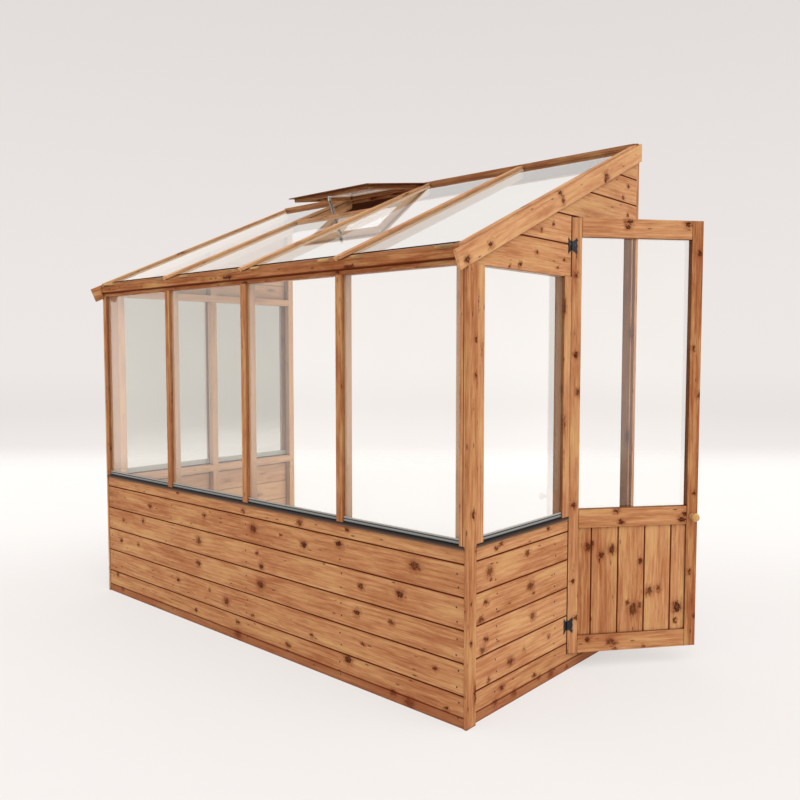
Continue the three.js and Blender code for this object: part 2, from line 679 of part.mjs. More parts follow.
// Roof bar: rafter, tongue between two panes, and cap
function roofBar(line) {
  const [x0, x1] = timberSpan(line);
  const [t0, t1] = tongueSpan(line);
  const [c0, c1] = stripSpan(line);
  const rafter = alongX(plumbBand(rafterFoot, WALL_RAIL_FRONT, RAFTER_TOP, RAFTER_BOTTOM), x0, x1);
  const cap = alongX(squareBand(roofFoot, WALL_RAIL_FRONT, -CAP_PROUD_HEIGHT, CAP_BOTTOM), c0, c1);
  const tongue = alongX(squareBand(roofFoot, WALL_RAIL_FRONT, CAP_BOTTOM - SEAT_GAP, GLASS_BOTTOM), t0, t1);
  const [w0, w1] = [Math.max(t0, x0), Math.min(t1, x1)];
  const webBand = plumbBand(rafterFoot, WALL_RAIL_FRONT, CAP_BOTTOM - SEAT_GAP, RAFTER_TOP + SEAT_GAP);
  const web = alongX(webBand, w0, w1);
  return join(rafter, web, cap, tongue);
}

function roofPane(bay) {
  const x0 = tongueSpan(bay)[1];
  const x1 = tongueSpan(bay + 1)[0];
  const rear = bay === VENT_BAY_LEFT ? TRANSOM_LEDGE_END : WALL_RAIL_FRONT;
  const foot = roofFoot - GLASS_OVERHANG_LENGTH;
  return alongX(squareBand(foot, rear - SEAT_GAP, GLASS_TOP, GLASS_BOTTOM), x0, x1);
}

// Cross piece between two bars, with a ledge for the pane and a kerb for the vent
function ventTransom() {
  const outline = [
    [TRANSOM_FRONT, roofZ(TRANSOM_FRONT, TRANSOM_DEPTH)],
    [TRANSOM_REAR, roofZ(TRANSOM_REAR, TRANSOM_DEPTH)],
    [TRANSOM_REAR, roofZ(TRANSOM_REAR, -CAP_PROUD_HEIGHT)],
    [TRANSOM_LEDGE_END, roofZ(TRANSOM_LEDGE_END, -CAP_PROUD_HEIGHT)],
    [TRANSOM_LEDGE_END, roofZ(TRANSOM_LEDGE_END, RAFTER_TOP)],
    [TRANSOM_FRONT, roofZ(TRANSOM_FRONT, RAFTER_TOP)],
  ];
  return alongX(outline, timberSpan(VENT_BAY_LEFT)[1], timberSpan(VENT_BAY_LEFT + 1)[0]);
}

piece("wall_rail", wallRail(), pine());
for (let line = -2; line <= 2; line++) piece(`roof_bar_${line + 3}`, roofBar(line), pine());
for (let bay = -2; bay < 2; bay++) piece(`roof_pane_${bay + 3}`, roofPane(bay), clearGlass());
piece("vent_transom", ventTransom(), pine());

// The vent lies level in its own group, which the slope then turns about the hinge
const vent = new THREE.Group();
vent.name = "vent";
vent.position.set(0, VENT_HINGE_Y, VENT_HINGE_Z);
vent.rotation.x = VENT_SLOPE;
house.add(vent);

const ventLeft = stripSpan(VENT_BAY_LEFT)[1] + VENT_SIDE_GAP;
const ventRight = stripSpan(VENT_BAY_LEFT + 1)[0] - VENT_SIDE_GAP;

function ventBlock(x0, x1, near, far, bottom, top) {
  return block(x0, x1, -far, -near, bottom, top);
}

// Block through the vent opening, grown on all four sides by a margin
function ventOpening(margin, bottom, top) {
  const inset = VENT_MEMBER_WIDTH - margin;
  const near = VENT_REAR_GAP + inset;
  const far = VENT_FRAME_END - inset;
  return ventBlock(ventLeft + inset, ventRight - inset, near, far, bottom, top);
}

function ventFrame() {
  const bottom = -SEAT_GAP - VENT_THICK;
  const slab = ventBlock(ventLeft, ventRight, VENT_REAR_GAP, VENT_FRAME_END, bottom, -SEAT_GAP);
  const rebate = ventOpening(BEARING_WIDTH + SEAT_GAP, -GLASS_THICK - 3 * SEAT_GAP, 0);
  return cut(slab, ventOpening(0, bottom - SEAT_GAP, 0), rebate);
}

function ventCover() {
  const x0 = ventLeft - VENT_SIDE_OVERHANG_WIDTH;
  const x1 = ventRight + VENT_SIDE_OVERHANG_WIDTH;
  const sheet = ventBlock(x0, x1, 0, VENT_LENGTH, 0, VENT_COVER_THICK);
  return cut(sheet, ventOpening(0, -SEAT_GAP, VENT_COVER_THICK + SEAT_GAP));
}

// Bracket under the front rail of the vent, with the pin that the stay hangs on
function stayBracket() {
  const under = -SEAT_GAP - VENT_THICK - SEAT_GAP;
  const inner = STAY_X + STAY_THICK / 2 + SEAT_GAP;
  const plateEnd = inner + BRACKET_THICK;
  const near = STAY_ALONG - BRACKET_WIDTH / 2;
  const far = near + BRACKET_WIDTH;
  const low = -STAY_DROP_HEIGHT - BRACKET_WIDTH / 2;
  const plate = ventBlock(inner, plateEnd, near, far, low, under);
  const flange = ventBlock(inner, inner + BRACKET_WIDTH, near, far, under - BRACKET_FLANGE_THICK, under);
  const outer = STAY_X - STAY_THICK / 2 - SEAT_GAP;
  const headEnd = outer - BRACKET_FLANGE_THICK;
  const pin = crossRod(PIVOT_RADIUS, -STAY_ALONG, -STAY_DROP_HEIGHT, headEnd, plateEnd);
  const head = crossRod(PIVOT_HEAD_RADIUS, -STAY_ALONG, -STAY_DROP_HEIGHT, headEnd, outer);
  return join(plate, flange, pin, head);
}

piece("vent_frame", ventFrame(), pine(), vent);
piece("vent_cover", ventCover(), pine(), vent);
const ventPane = ventOpening(BEARING_WIDTH, -GLASS_THICK - 2 * SEAT_GAP, -2 * SEAT_GAP);
piece("vent_pane", ventPane, clearGlass(), vent);
piece("vent_stay_bracket", stayBracket(), brightMetal(), vent);

const stay = new THREE.Group();
stay.name = "stay";
stay.position.set(STAY_X, -STAY_ALONG, -STAY_DROP_HEIGHT);
stay.rotation.x = THREE.MathUtils.degToRad(STAY_LEAN_DEGREES) - VENT_SLOPE;
vent.add(stay);

// Flat bar with round ends, a hole for its pin and a row of holes for the peg
function stayBar() {
  const half = STAY_WIDTH / 2;
  const shape = new THREE.Shape();
  shape.absarc(0, 0, half, 0, Math.PI, false);
  shape.absarc(0, STAY_WIDTH - STAY_LENGTH, half, Math.PI, 2 * Math.PI, false);
  const drill = (z, radius) => {
    const hole = new THREE.Path();
    hole.absarc(0, z, radius, 0, 2 * Math.PI, true);
    shape.holes.push(hole);
  };
  drill(0, PIVOT_RADIUS + SEAT_GAP);
  for (let i = 0; i < STAY_HOLES; i++) {
    drill(-STAY_FIRST_HOLE_LENGTH - i * STAY_HOLE_PITCH, STAY_HOLE_RADIUS);
  }
  return alongX(shape, -STAY_THICK / 2, STAY_THICK / 2);
}

piece("vent_stay", stayBar(), brightMetal(), stay);

// Peg on the rear face of the transom, level with one of the holes in the stay
function stayPeg() {
  const lean = THREE.MathUtils.degToRad(STAY_LEAN_DEGREES);
  const down = STAY_FIRST_HOLE_LENGTH + PEG_HOLE * STAY_HOLE_PITCH;
  const pivotY = VENT_HINGE_Y - STAY_ALONG * Math.cos(VENT_SLOPE) + STAY_DROP_HEIGHT * Math.sin(VENT_SLOPE);
  const pivotZ = VENT_HINGE_Z - STAY_ALONG * Math.sin(VENT_SLOPE) - STAY_DROP_HEIGHT * Math.cos(VENT_SLOPE);
  const y = pivotY + down * Math.sin(lean);
  const z = pivotZ - down * Math.cos(lean);
  const half = PEG_ARM_HEIGHT / 2;
  const tip = STAY_X - STAY_THICK / 2 - PEG_GAP;
  const arm = tip - PEG_LENGTH;
  const footEnd = TRANSOM_REAR + BRACKET_FLANGE_THICK;
  return join(
    block(arm - BRACKET_WIDTH, arm, TRANSOM_REAR, footEnd, z - half, z + half),
    block(arm - BRACKET_THICK, arm, TRANSOM_REAR, y + half, z - half, z + half),
    crossRod(PEG_RADIUS, y, z, arm - BRACKET_THICK / 2, tip),
  );
}

piece("stay_peg", stayPeg(), brightMetal());

// The door is built shut in its own group, which the rest angle then turns about the hinge pins
const door = new THREE.Group();
door.name = "door";
door.position.set(HINGE_X, HINGE_Y, 0);
door.rotation.z = -THREE.MathUtils.degToRad(DOOR_REST_DEGREES);
house.add(door);

// Block of the door, with depth measured in from the outer face
function doorBlock(depth0, depth1, s0, s1, z0, z1) {
  return block(DOOR_FACE - depth1, DOOR_FACE - depth0, s0, s1, z0, z1);
}

const boardGroove = [DOOR_BOARD_RECESS_DEPTH - SEAT_GAP, DOOR_BOARD_RECESS_DEPTH + BOARD_THICK + SEAT_GAP];
const glassRebate = [DOOR_GLASS_DEPTH, DOOR_THICK];
const boardsFrom = DOOR_BOTTOM_RAIL_TOP - DOOR_REBATE_WIDTH;
const boardsTo = DOOR_MID_RAIL + DOOR_REBATE_WIDTH;
const glassFrom = DOOR_MID_RAIL_TOP - DOOR_REBATE_WIDTH;
const glassTo = DOOR_TOP_RAIL + DOOR_REBATE_WIDTH;
const panelFrom = HINGE_STILE_END - DOOR_REBATE_WIDTH;
const panelTo = LOCK_STILE_START + DOOR_REBATE_WIDTH;

// Groove for the boards and rebate for the glass along the inner edge of a stile
function stileCuts(s0, s1) {
  return [
    doorBlock(...boardGroove, s0, s1, boardsFrom, boardsTo),
    doorBlock(...glassRebate, s0, s1, glassFrom, glassTo),
  ];
}

function hingeStile() {
  const stile = doorBlock(0, DOOR_THICK, DOOR_EDGE, HINGE_STILE_END, DOOR_BOTTOM_HEIGHT, DOOR_TOP);
  return cut(stile, ...stileCuts(panelFrom, HINGE_STILE_END));
}

// Lock stile, lipped over the rear post
function lockStile() {
  const stile = doorBlock(0, DOOR_THICK, LOCK_STILE_START, LOCK_STILE_END, DOOR_BOTTOM_HEIGHT, DOOR_TOP);
  const lip = doorBlock(0, LIP_THICK, LOCK_STILE_END, LIP_END, DOOR_BOTTOM_HEIGHT, DOOR_TOP);
  return cut(join(stile, lip), ...stileCuts(LOCK_STILE_START, panelTo));
}

function doorRail(bottom, top, ...cuts) {
  const ends = [HINGE_STILE_END + SEAT_GAP, LOCK_STILE_START - SEAT_GAP];
  return cut(doorBlock(0, DOOR_THICK, ...ends, bottom, top), ...cuts);
}

function railCut(depths, z0, z1) {
  return doorBlock(...depths, HINGE_STILE_END, LOCK_STILE_START, z0, z1);
}

// Upright boards of the door panel, with V joints on the outer face
function doorBoards() {
  const face = DOOR_FACE - DOOR_BOARD_RECESS_DEPTH;
  const back = face - BOARD_THICK;
  const start = panelFrom + SEAT_GAP;
  const end = panelTo - SEAT_GAP;
  const points = [[back, start]];
  points.push([face, start]);
  for (let line = FIRST_DOOR_BOARD_WIDTH; line < LOCK_STILE_START; line += DOOR_BOARD_COVER_WIDTH) {
    points.push([face, line - GROOVE_WIDTH / 2]);
    points.push([face - GROOVE_DEPTH, line]);
    points.push([face, line + GROOVE_WIDTH / 2]);
  }
  points.push([face, end]);
  points.push([back, end]);
  return alongZ(points, boardsFrom + SEAT_GAP, boardsTo - SEAT_GAP);
}

function doorPane() {
  const inner = DOOR_GLASS_DEPTH + SEAT_GAP;
  const sides = [panelFrom + SEAT_GAP, panelTo - SEAT_GAP];
  const heights = [glassFrom + SEAT_GAP, glassTo - SEAT_GAP];
  return doorBlock(inner, inner + GLASS_THICK, ...sides, ...heights);
}

function knob() {
  const profile = KNOB_RADIUS_SHARES.map(
    (share, i) => new THREE.Vector2(share * KNOB_RADIUS, KNOB_PROUD_SHARES[i] * KNOB_LENGTH),
  );
  const geometry = new THREE.LatheGeometry(profile, 28);
  geometry.rotateZ(-Math.PI / 2);
  geometry.translate(DOOR_FACE + SEAT_GAP, KNOB_ALONG, KNOB_HEIGHT);
  return solidOf(geometry);
}

piece("door_hinge_stile", hingeStile(), pine(), door);
piece("door_lock_stile", lockStile(), pine(), door);
const topRailCut = railCut(glassRebate, DOOR_TOP_RAIL, glassTo);
piece("door_top_rail", doorRail(DOOR_TOP_RAIL, DOOR_TOP, topRailCut), pine(), door);
const midRailCuts = [
  railCut(glassRebate, glassFrom, DOOR_MID_RAIL_TOP),
  railCut(boardGroove, DOOR_MID_RAIL, boardsTo),
];
piece("door_mid_rail", doorRail(DOOR_MID_RAIL, DOOR_MID_RAIL_TOP, ...midRailCuts), pine(), door);
const bottomRailCut = railCut(boardGroove, boardsFrom, DOOR_BOTTOM_RAIL_TOP);
piece("door_bottom_rail", doorRail(DOOR_BOTTOM_HEIGHT, DOOR_BOTTOM_RAIL_TOP, bottomRailCut), pine(), door);
piece("door_boards", doorBoards(), pine(), door);
piece("door_pane", doorPane(), clearGlass(), door);
piece("door_knob", knob(), palePine(), door);

// Half of a butterfly hinge plate: side is -1 for the frame and 1 for the door
function hingePlate(side, height, reach) {
  const waist = HINGE_WAIST_HEIGHT / 2;
  const wing = HINGE_LEAF_HEIGHT / 2;
  const third = HINGE_WAIST_HEIGHT / 6;
  const clear = KNUCKLE_RADIUS + 2 * SEAT_GAP;
  const ends = side < 0 ? [0, clear] : [clear, 0];
  const step = side < 0 ? third + SEAT_GAP : third - SEAT_GAP;
  const outline = [
    [HINGE_LEAF_LENGTH, -wing],
    [HINGE_LEAF_LENGTH, wing],
    [HINGE_WAIST_LENGTH, waist],
    [ends[0], waist],
    [ends[0], step],
    [ends[1], step],
    [ends[1], -step],
    [ends[0], -step],
    [ends[0], -waist],
    [HINGE_WAIST_LENGTH, -waist],
  ];
  return outline.map(([along, up]) => [reach + side * along, height + up]);
}

// Leaf on the frame, with the two outer knuckles and the pin
function frameLeaf(height) {
  const waist = HINGE_WAIST_HEIGHT / 2;
  const third = HINGE_WAIST_HEIGHT / 6 + SEAT_GAP;
  const plate = alongX(hingePlate(-1, height, HINGE_Y), CLADDING_X, CLADDING_X + HINGE_LEAF_THICK);
  return join(
    plate,
    rod(KNUCKLE_RADIUS, HINGE_X, HINGE_Y, height - waist, height - third),
    rod(KNUCKLE_RADIUS, HINGE_X, HINGE_Y, height + third, height + waist),
    rod(PIN_RADIUS, HINGE_X, HINGE_Y, height - waist, height + waist),
  );
}

// Leaf on the door, with the middle knuckle bored for the pin
function doorLeaf(height) {
  const third = HINGE_WAIST_HEIGHT / 6 - SEAT_GAP;
  const from = DOOR_FACE + SEAT_GAP;
  const plate = alongX(hingePlate(1, height, 0), from, from + HINGE_LEAF_THICK);
  const knuckle = rod(KNUCKLE_RADIUS, 0, 0, height - third, height + third);
  const bore = rod(PIN_CLEAR, 0, 0, height - HINGE_WAIST_HEIGHT, height + HINGE_WAIST_HEIGHT);
  return cut(join(plate, knuckle), bore);
}

["lower", "upper"].forEach((place, i) => {
  piece(`hinge_${place}_frame_leaf`, frameLeaf(HINGE_HEIGHTS[i]), blackMetal());
  piece(`hinge_${place}_door_leaf`, doorLeaf(HINGE_HEIGHTS[i]), blackMetal(), door);
});

export default house;
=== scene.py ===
import math

import bmesh
import bpy
from mathutils import Matrix, Vector


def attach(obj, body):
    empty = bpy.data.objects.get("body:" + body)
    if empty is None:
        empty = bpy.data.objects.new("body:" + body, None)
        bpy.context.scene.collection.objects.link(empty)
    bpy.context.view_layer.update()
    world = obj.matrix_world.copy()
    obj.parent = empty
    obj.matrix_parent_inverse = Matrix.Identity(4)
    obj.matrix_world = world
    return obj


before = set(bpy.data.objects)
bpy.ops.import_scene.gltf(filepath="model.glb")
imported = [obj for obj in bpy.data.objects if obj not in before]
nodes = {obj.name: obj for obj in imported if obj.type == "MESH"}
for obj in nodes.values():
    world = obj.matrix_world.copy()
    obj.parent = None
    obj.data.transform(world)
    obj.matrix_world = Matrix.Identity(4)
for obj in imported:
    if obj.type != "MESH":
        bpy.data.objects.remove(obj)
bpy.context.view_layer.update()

# Places and sizes shared with the solids, in metres
BAY_WIDTH = 0.603
FRONT_FACE_Y = -0.031
END_FACE_X = 1.218
END_HEAD = 1.606
TIMBER = 0.038
SILL_TOP = 0.629
ROOF_RISE_SHARE = 0.442
ROOF_SLOPE = math.atan(ROOF_RISE_SHARE)
EAVE_BED_Y = 0.019
FASCIA_BOTTOM = 1.622
BOTTOM_BOARD = 0.114
BOARD_COVER = 0.116
GABLE_BOARD = 0.128
GABLE_COVER = 0.114
GABLE_RAIL = (1.848, 1.886)
WALL_RAIL_LIP = 2.19
HINGE_X = 1.2223
HINGE_Y = 0.657
DOOR_TURN = math.radians(38.44)
DOOR_FIRST_BOARD = 0.104
DOOR_BOARD_COVER = 0.117
KNOB_ALONG = 0.543
KNOB_HEIGHT = 0.622
VENT_HINGE_Y = 1.214
VENT_HINGE_Z = 2.22987
VENT_OPEN = math.radians(14.6)
VENT_SLOPE = ROOF_SLOPE - VENT_OPEN
STAY_PIVOT_Y = 0.7811
STAY_PIVOT_Z = 2.1259
STAY_LEAN = math.radians(22.8)

# Rails of the vent and of its cover boards, down the slope from the hinge
VENT_RAILS = [(-0.051, 0), (-0.46, -0.411)]
COVER_RAILS = [(-0.051, 0.01), (-0.48, -0.411)]

# Joints between pieces of timber: places and half widths
STILE_EDGES = (0.0438, 0.5197)
CORNER_SEAM_X = 1.2105
BUTT_SEAM_HALF = 0.0028
TRIM_EDGE_Y = 0.0198
TRIM_SEAM_HALF = 0.0036
# Half width of the dark line at the fascia's foot: partly its joint, partly painted shadow under its step
FASCIA_SEAM_AND_SHADOW_HALF = 0.006
FOOT_SEAM_HALF = 0.005

# Camera fitted to the photograph
CAMERA_PLACE = (2.8417, -2.1760, 1.3050)
CAMERA_PITCH = math.radians(90 - 3.423)
CAMERA_HEADING = math.radians(41.87)
CAMERA_LENS = 35.75
CAMERA_REACH = 200
SENSOR_WIDTH = 36

# Samples that look for creases and for edges to soften
CREASE_SAMPLES = 4
EDGE_SAMPLES = 3

# Sockets of a mix node for each kind of value: first, second and result
MIX_SOCKETS = {"VECTOR": (4, 5, 1), "RGBA": (6, 7, 2)}


def srgb(red, green, blue):
    """Linear colour of a screen colour from 0 to 255."""
    def linear(value):
        value = value / 255
        return value / 12.92 if value <= 0.04045 else ((value + 0.055) / 1.055) ** 2.4
    return (linear(red), linear(green), linear(blue), 1)


class Shader:
    """Short calls that build the nodes of one material, or of the world."""

    def __init__(self, owner, output_kind="ShaderNodeOutputMaterial"):
        self.owner = owner
        owner.use_nodes = True
        self.tree = owner.node_tree
        self.tree.nodes.clear()
        self.output = self.tree.nodes.new(output_kind)

    def add(self, kind, **settings):
        node = self.tree.nodes.new(kind)
        for key, value in settings.items():
            setattr(node, key, value)
        return node

    def put(self, socket, value):
        if isinstance(value, bpy.types.NodeSocket):
            self.tree.links.new(value, socket)
        elif value is not None:
            socket.default_value = value

    def fill(self, node, values):
        """Gives the first sockets of a node their values."""
        for socket, value in zip(node.inputs, values):
            self.put(socket, value)
        return node

    def math(self, operation, *values):
        return self.fill(self.add("ShaderNodeMath", operation=operation), values).outputs[0]

    def vector(self, operation, *values):
        node = self.fill(self.add("ShaderNodeVectorMath", operation=operation), values)
        single = operation in ("LENGTH", "DISTANCE", "DOT_PRODUCT")
        return node.outputs["Value" if single else "Vector"]

    def combine(self, *values):
        return self.fill(self.add("ShaderNodeCombineXYZ"), values).outputs[0]

    def separate(self, vector):
        return list(self.fill(self.add("ShaderNodeSeparateXYZ"), [vector]).outputs)

    def mix(self, share, a, b, kind="RGBA"):
        node = self.add("ShaderNodeMix", data_type=kind)
        first, second, result = MIX_SOCKETS[kind]
        self.put(node.inputs[0], share)
        self.put(node.inputs[first], a)
        self.put(node.inputs[second], b)
        return node.outputs[result]

    def smooth(self, value, start, end, low=0.0, high=1.0):
        node = self.add("ShaderNodeMapRange", interpolation_type="SMOOTHSTEP")
        return self.fill(node, (value, start, end, low, high)).outputs[0]

    def weighted(self, value, share):
        """One where the value is one, and less by the share where it is zero."""
        return self.math("MULTIPLY_ADD", value, share, 1 - share)

    def ramp(self, value, shades):
        """Colour by a value, from points of (position, colour)."""
        node = self.add("ShaderNodeValToRGB")
        points = node.color_ramp.elements
        points[0].position, points[0].color = shades[0]
        points[1].position, points[1].color = shades[-1]
        for position, colour in shades[1:-1]:
            points.new(position).color = colour
        return self.fill(node, [value]).outputs[0]

    def noise(self, place, scale, detail=2.0, roughness=0.5, result="Fac"):
        node = self.add("ShaderNodeTexNoise")
        self.put(node.inputs["Vector"], place)
        self.put(node.inputs["Scale"], scale)
        self.put(node.inputs["Detail"], detail)
        self.put(node.inputs["Roughness"], roughness)
        return node.outputs[result]

    def streaks(self, place, scales, detail=2.0, roughness=0.5):
        """Noise with a scale of its own along each axis."""
        return self.noise(self.vector("MULTIPLY", place, scales), 1.0, detail, roughness)

    def cells(self, place, scales):
        """Distance to the nearest of many scattered points, and that point's own random values."""
        node = self.add("ShaderNodeTexVoronoi", voronoi_dimensions="3D", feature="F1")
        self.put(node.inputs["Vector"], self.vector("MULTIPLY", place, scales))
        self.put(node.inputs["Scale"], 1.0)
        return node.outputs["Distance"], self.separate(node.outputs["Color"])

    def random(self, place):
        node = self.add("ShaderNodeTexWhiteNoise", noise_dimensions="3D")
        self.put(node.inputs["Vector"], place)
        return self.separate(node.outputs["Color"])

    def place(self):
        return self.add("ShaderNodeTexCoord").outputs["Object"]

    def facing_share(self, direction):
        """How squarely a face looks in a direction of the piece's own frame, which turns with the piece."""
        return self.vector("DOT_PRODUCT", self.add("ShaderNodeTexCoord").outputs["Normal"], direction)

    def open_share(self, reach):
        """Share of open air within reach, low in a crease or beside another piece."""
        node = self.add("ShaderNodeAmbientOcclusion", samples=CREASE_SAMPLES)
        self.put(node.inputs["Distance"], reach)
        return node.outputs["AO"]

    def ray(self, kind):
        return self.add("ShaderNodeLightPath").outputs[f"Is {kind} Ray"]

    def soft_edge(self, radius):
        return self.fill(self.add("ShaderNodeBevel", samples=EDGE_SAMPLES), [radius]).outputs[0]

    def bump(self, height, distance, strength, normal=None):
        node = self.add("ShaderNodeBump")
        self.put(node.inputs["Height"], height)
        self.put(node.inputs["Distance"], distance)
        self.put(node.inputs["Strength"], strength)
        self.put(node.inputs["Normal"], normal)
        return node.outputs[0]

    def principled(self, **values):
        node = self.add("ShaderNodeBsdfPrincipled")
        for key, value in values.items():
            self.put(node.inputs[key.replace("_", " ")], value)
        return node.outputs[0]

    def clear(self, colour=(1.0, 1.0, 1.0, 1)):
        return self.fill(self.add("ShaderNodeBsdfTransparent"), [colour]).outputs[0]

    def blend(self, share, first, second):
        """The first surface where the share is zero, the second where it is one."""
        return self.fill(self.add("ShaderNodeMixShader"), (share, first, second)).outputs[0]

    def finish(self, surface):
        self.put(self.output.inputs["Surface"], surface)
        return self.owner


def new_shader(name):
    return Shader(bpy.data.materials.new(name))


# Stained pine, from the lightest early wood to the knots
PINE_PALE = srgb(215, 163, 118)
PINE_WARM = srgb(184, 127, 85)
PINE_DARK = srgb(139, 79, 42)
PINE_SHADES = [(0.05, PINE_PALE), (0.5, PINE_WARM), (0.95, PINE_DARK)]
PINE_RED = srgb(160, 92, 62)
PINE_STRAW = srgb(202, 160, 102)
PINE_FLARE = srgb(126, 62, 33)
PINE_KNOT = srgb(44, 12, 3)
# Painted shade for the edge faces beside a piece's broad faces, and over the vent cover
PINE_SIDE_SHADE = srgb(84, 46, 27)
# Darker, redder band at the foot: partly the base rail's own wood, partly painted shade under the boards
PINE_FOOT_SHADE = srgb(136, 72, 44)
# Dark stain of the joints, which also serves as painted shade in creases and corners
GROOVE_STAIN_AND_SHADE = srgb(94, 30, 0)
# Painted shade for the wall rail's face in the hollow under the vent
PINE_HOLLOW_SHADE = srgb(62, 26, 16)
# Painted light: paler pine for wood that is seen mirrored in glass
PINE_GLASS_LIGHT = srgb(250, 212, 176)
PINE_BOUNCE = srgb(158, 146, 138)

# Noises of the pine: scales per metre along, across and through the grain, detail and roughness
STREAK_NOISE = ((4.6, 145.0, 145.0), 4.0, 0.7)
FIBRE_NOISE = ((18.0, 330.0, 330.0), 3.0, 0.7)
CLOUD_NOISE = ((3.4, 18.0, 18.0), 3.0, 0.65)
DRIFT_NOISE = ((1.3, 10.0, 10.0), 1.0)
KNOT_WARP_NOISE = (75.0, 2.0, 0.6)
KNOT_SPECK_NOISE = (170.0, 2.0, 0.6)
KNOT_FADE_NOISE = (9.0, 0.0)

# Growth lines: number per metre, how far they drift, and how far and steeply they bow round a knot
RING_SCALES = (1.0, 90.0, 55.0)
RING_DRIFT = 8.0
RING_BOW = 1.6
RING_BOW_FALL = -0.5
RING_RANGE = (0.15, 1.0)

# Knots, longer along the grain: distances count from 0 at the middle to 1 at the edge
MM_PER_METRE = 1000
KNOT_ROUND_SHARE = 0.62
FLARE_SHARES = (0.55, 0.40, 0)
KNOT_WARP = (0.036, 0.026, 0.020)
KNOT_RAGGED = 1.0
FLARE_RAGGED = 1.9
KNOT_CORE_RANGE = (0.6, 1.18)
KNOT_FLARE_RANGE = (0.1, 1.2)
KNOT_FLARE_SHARE = 0.8
KNOT_RINGS = 1.5
KNOT_RING_RANGE = (0.1, 0.75)
KNOT_RING_SHARE = 0.6
KNOT_SPECK_RANGE = (0.42, 0.56)
KNOT_SPECK_SHARE = 0.4
KNOT_EYE_SHARE = 0.8
KNOT_FADE_RANGE = (0.36, 0.56)
KNOT_FADED_SHARE = 0.72

# Scattered knots and pin knots: cells per metre, and sizes in shares of a cell
WILD_KNOT_CELLS = (6.0, 20.0, 20.0)
WILD_KNOT_LEAST_SHARE = 0.07
WILD_KNOT_MORE_SHARE = 0.14
WILD_FLARE_SHARE = 0.5
LEFT_OUT_DISTANCE = 60.0
PIN_KNOT_CELLS = (13.0, 46.0, 46.0)
PIN_KNOT_RANGE = (0.06, 0.2)
PIN_KNOT_SHARE = 0.7

# How deep the stain looks, and how much each pattern adds to it
STAIN_BASE = -0.98
STAIN_RING_SHARE = 0.13
STAIN_STREAK_SHARE = 1.0
STAIN_FIBRE_SHARE = 0.8
STAIN_CLOUD_SHARE = 0.7
STAIN_BOARD_SHARE = 0.28
RED_RANGE = (0.5, 0.75)
RED_SHARE = 0.42
STRAW_RANGE = (0.26, 0.52)
STRAW_SHARE = 0.5

# Each board has wood of its own: a draw, and how far off in the log it is cut
BOARD_DRAW = 3.7
BOARD_SHIFT_ALONG = 11.0
BOARD_SHIFT_ACROSS = 7.0
SEED_STEP = 1.37
FIRST_SEED = 0.5

# Dark lines of the joints, painted shade on the feet, on the sides and in the corners, and the
# greyer colour of pine for bounced light
GROOVE_REACH = (0.0018, 0.0040)
GROOVE_SHARE = 0.95
SEAM_CORE_SHARE = 0.3
SEAM_SHARE = 0.95
FOOT_FADE = 0.004
SIDE_RANGE = (0.5, 0.75)
CREASE_REACH = 0.016
CREASE_RANGE = (0.38, 0.82)
BOUNCE_SHARE = 0.8
ALL_HEIGHTS = (0, 9)

# Surface of the pine
PINE_ROUGHNESS = 0.5
STREAK_ROUGHNESS = 0.25
PINE_SPECULAR = 0.05
RELIEF_DEPTH = 0.0007
RELIEF_SHARE = 0.55
FIBRE_RELIEF = 0.5
RING_RELIEF = 0.25
KNOT_RELIEF = 0.5
EDGE_RADIUS = 0.0018

# Order of the axes for each way that a grain can run: along, across on the face, through
GRAINS = {"x": "xzy", "y": "yzx", "z": "zxy", "zy": "zyx"}

# Place and turn of each frame that isn't the house's own
PIECE_FRAMES = {
    "slope": ((0, 0, 0), (ROOF_SLOPE, 0, 0)),
    "door": ((HINGE_X, HINGE_Y, 0), (0, 0, -DOOR_TURN)),
    "vent": ((0, VENT_HINGE_Y, VENT_HINGE_Z), (VENT_SLOPE, 0, 0)),
}


def turned_place(s, turn):
    """Place in the frame of the piece: the house, the roof slope, the door or the vent."""
    place = s.place()
    if turn not in PIECE_FRAMES:
        return place
    mapping = s.add("ShaderNodeMapping", vector_type="TEXTURE")
    return s.fill(mapping, (place, *PIECE_FRAMES[turn])).outputs[0]


def grain_vector(s, place, grain):
    """Vector with the grain direction first."""
    axes = dict(zip("xyz", s.separate(place)))
    return s.combine(*[axes[axis] for axis in GRAINS[grain]])


def pick(s, operation, a, b):
    """The least or greatest of two values. The first one may be missing."""
    return b if a is None else s.math(operation, a, b)


def band_mask(s, value, bands):
    """One where a value lies within any of the bands."""
    total = None
    for low, high in bands:
        above = s.math("GREATER_THAN", value, low)
        below = s.math("LESS_THAN", value, high)
        total = pick(s, "MAXIMUM", total, s.math("MULTIPLY", above, below))
    return total


def nearest_knot(s, along, knots):
    """Distances to the nearest listed knot and to its flare. Both are None where there is no knot."""
    near = None
    flare = None
    for place, height, size in knots:
        half = size / MM_PER_METRE
        scale = (KNOT_ROUND_SHARE / half, 1 / half, 0)
        shift = (-KNOT_ROUND_SHARE * place / half, -height / half, 0)
        here = s.vector("MULTIPLY_ADD", along, scale, shift)
        wide = s.vector("MULTIPLY", here, FLARE_SHARES)
        near = pick(s, "MINIMUM", near, s.vector("LENGTH", here))
        flare = pick(s, "MINIMUM", flare, s.vector("LENGTH", wide))
    return near, flare


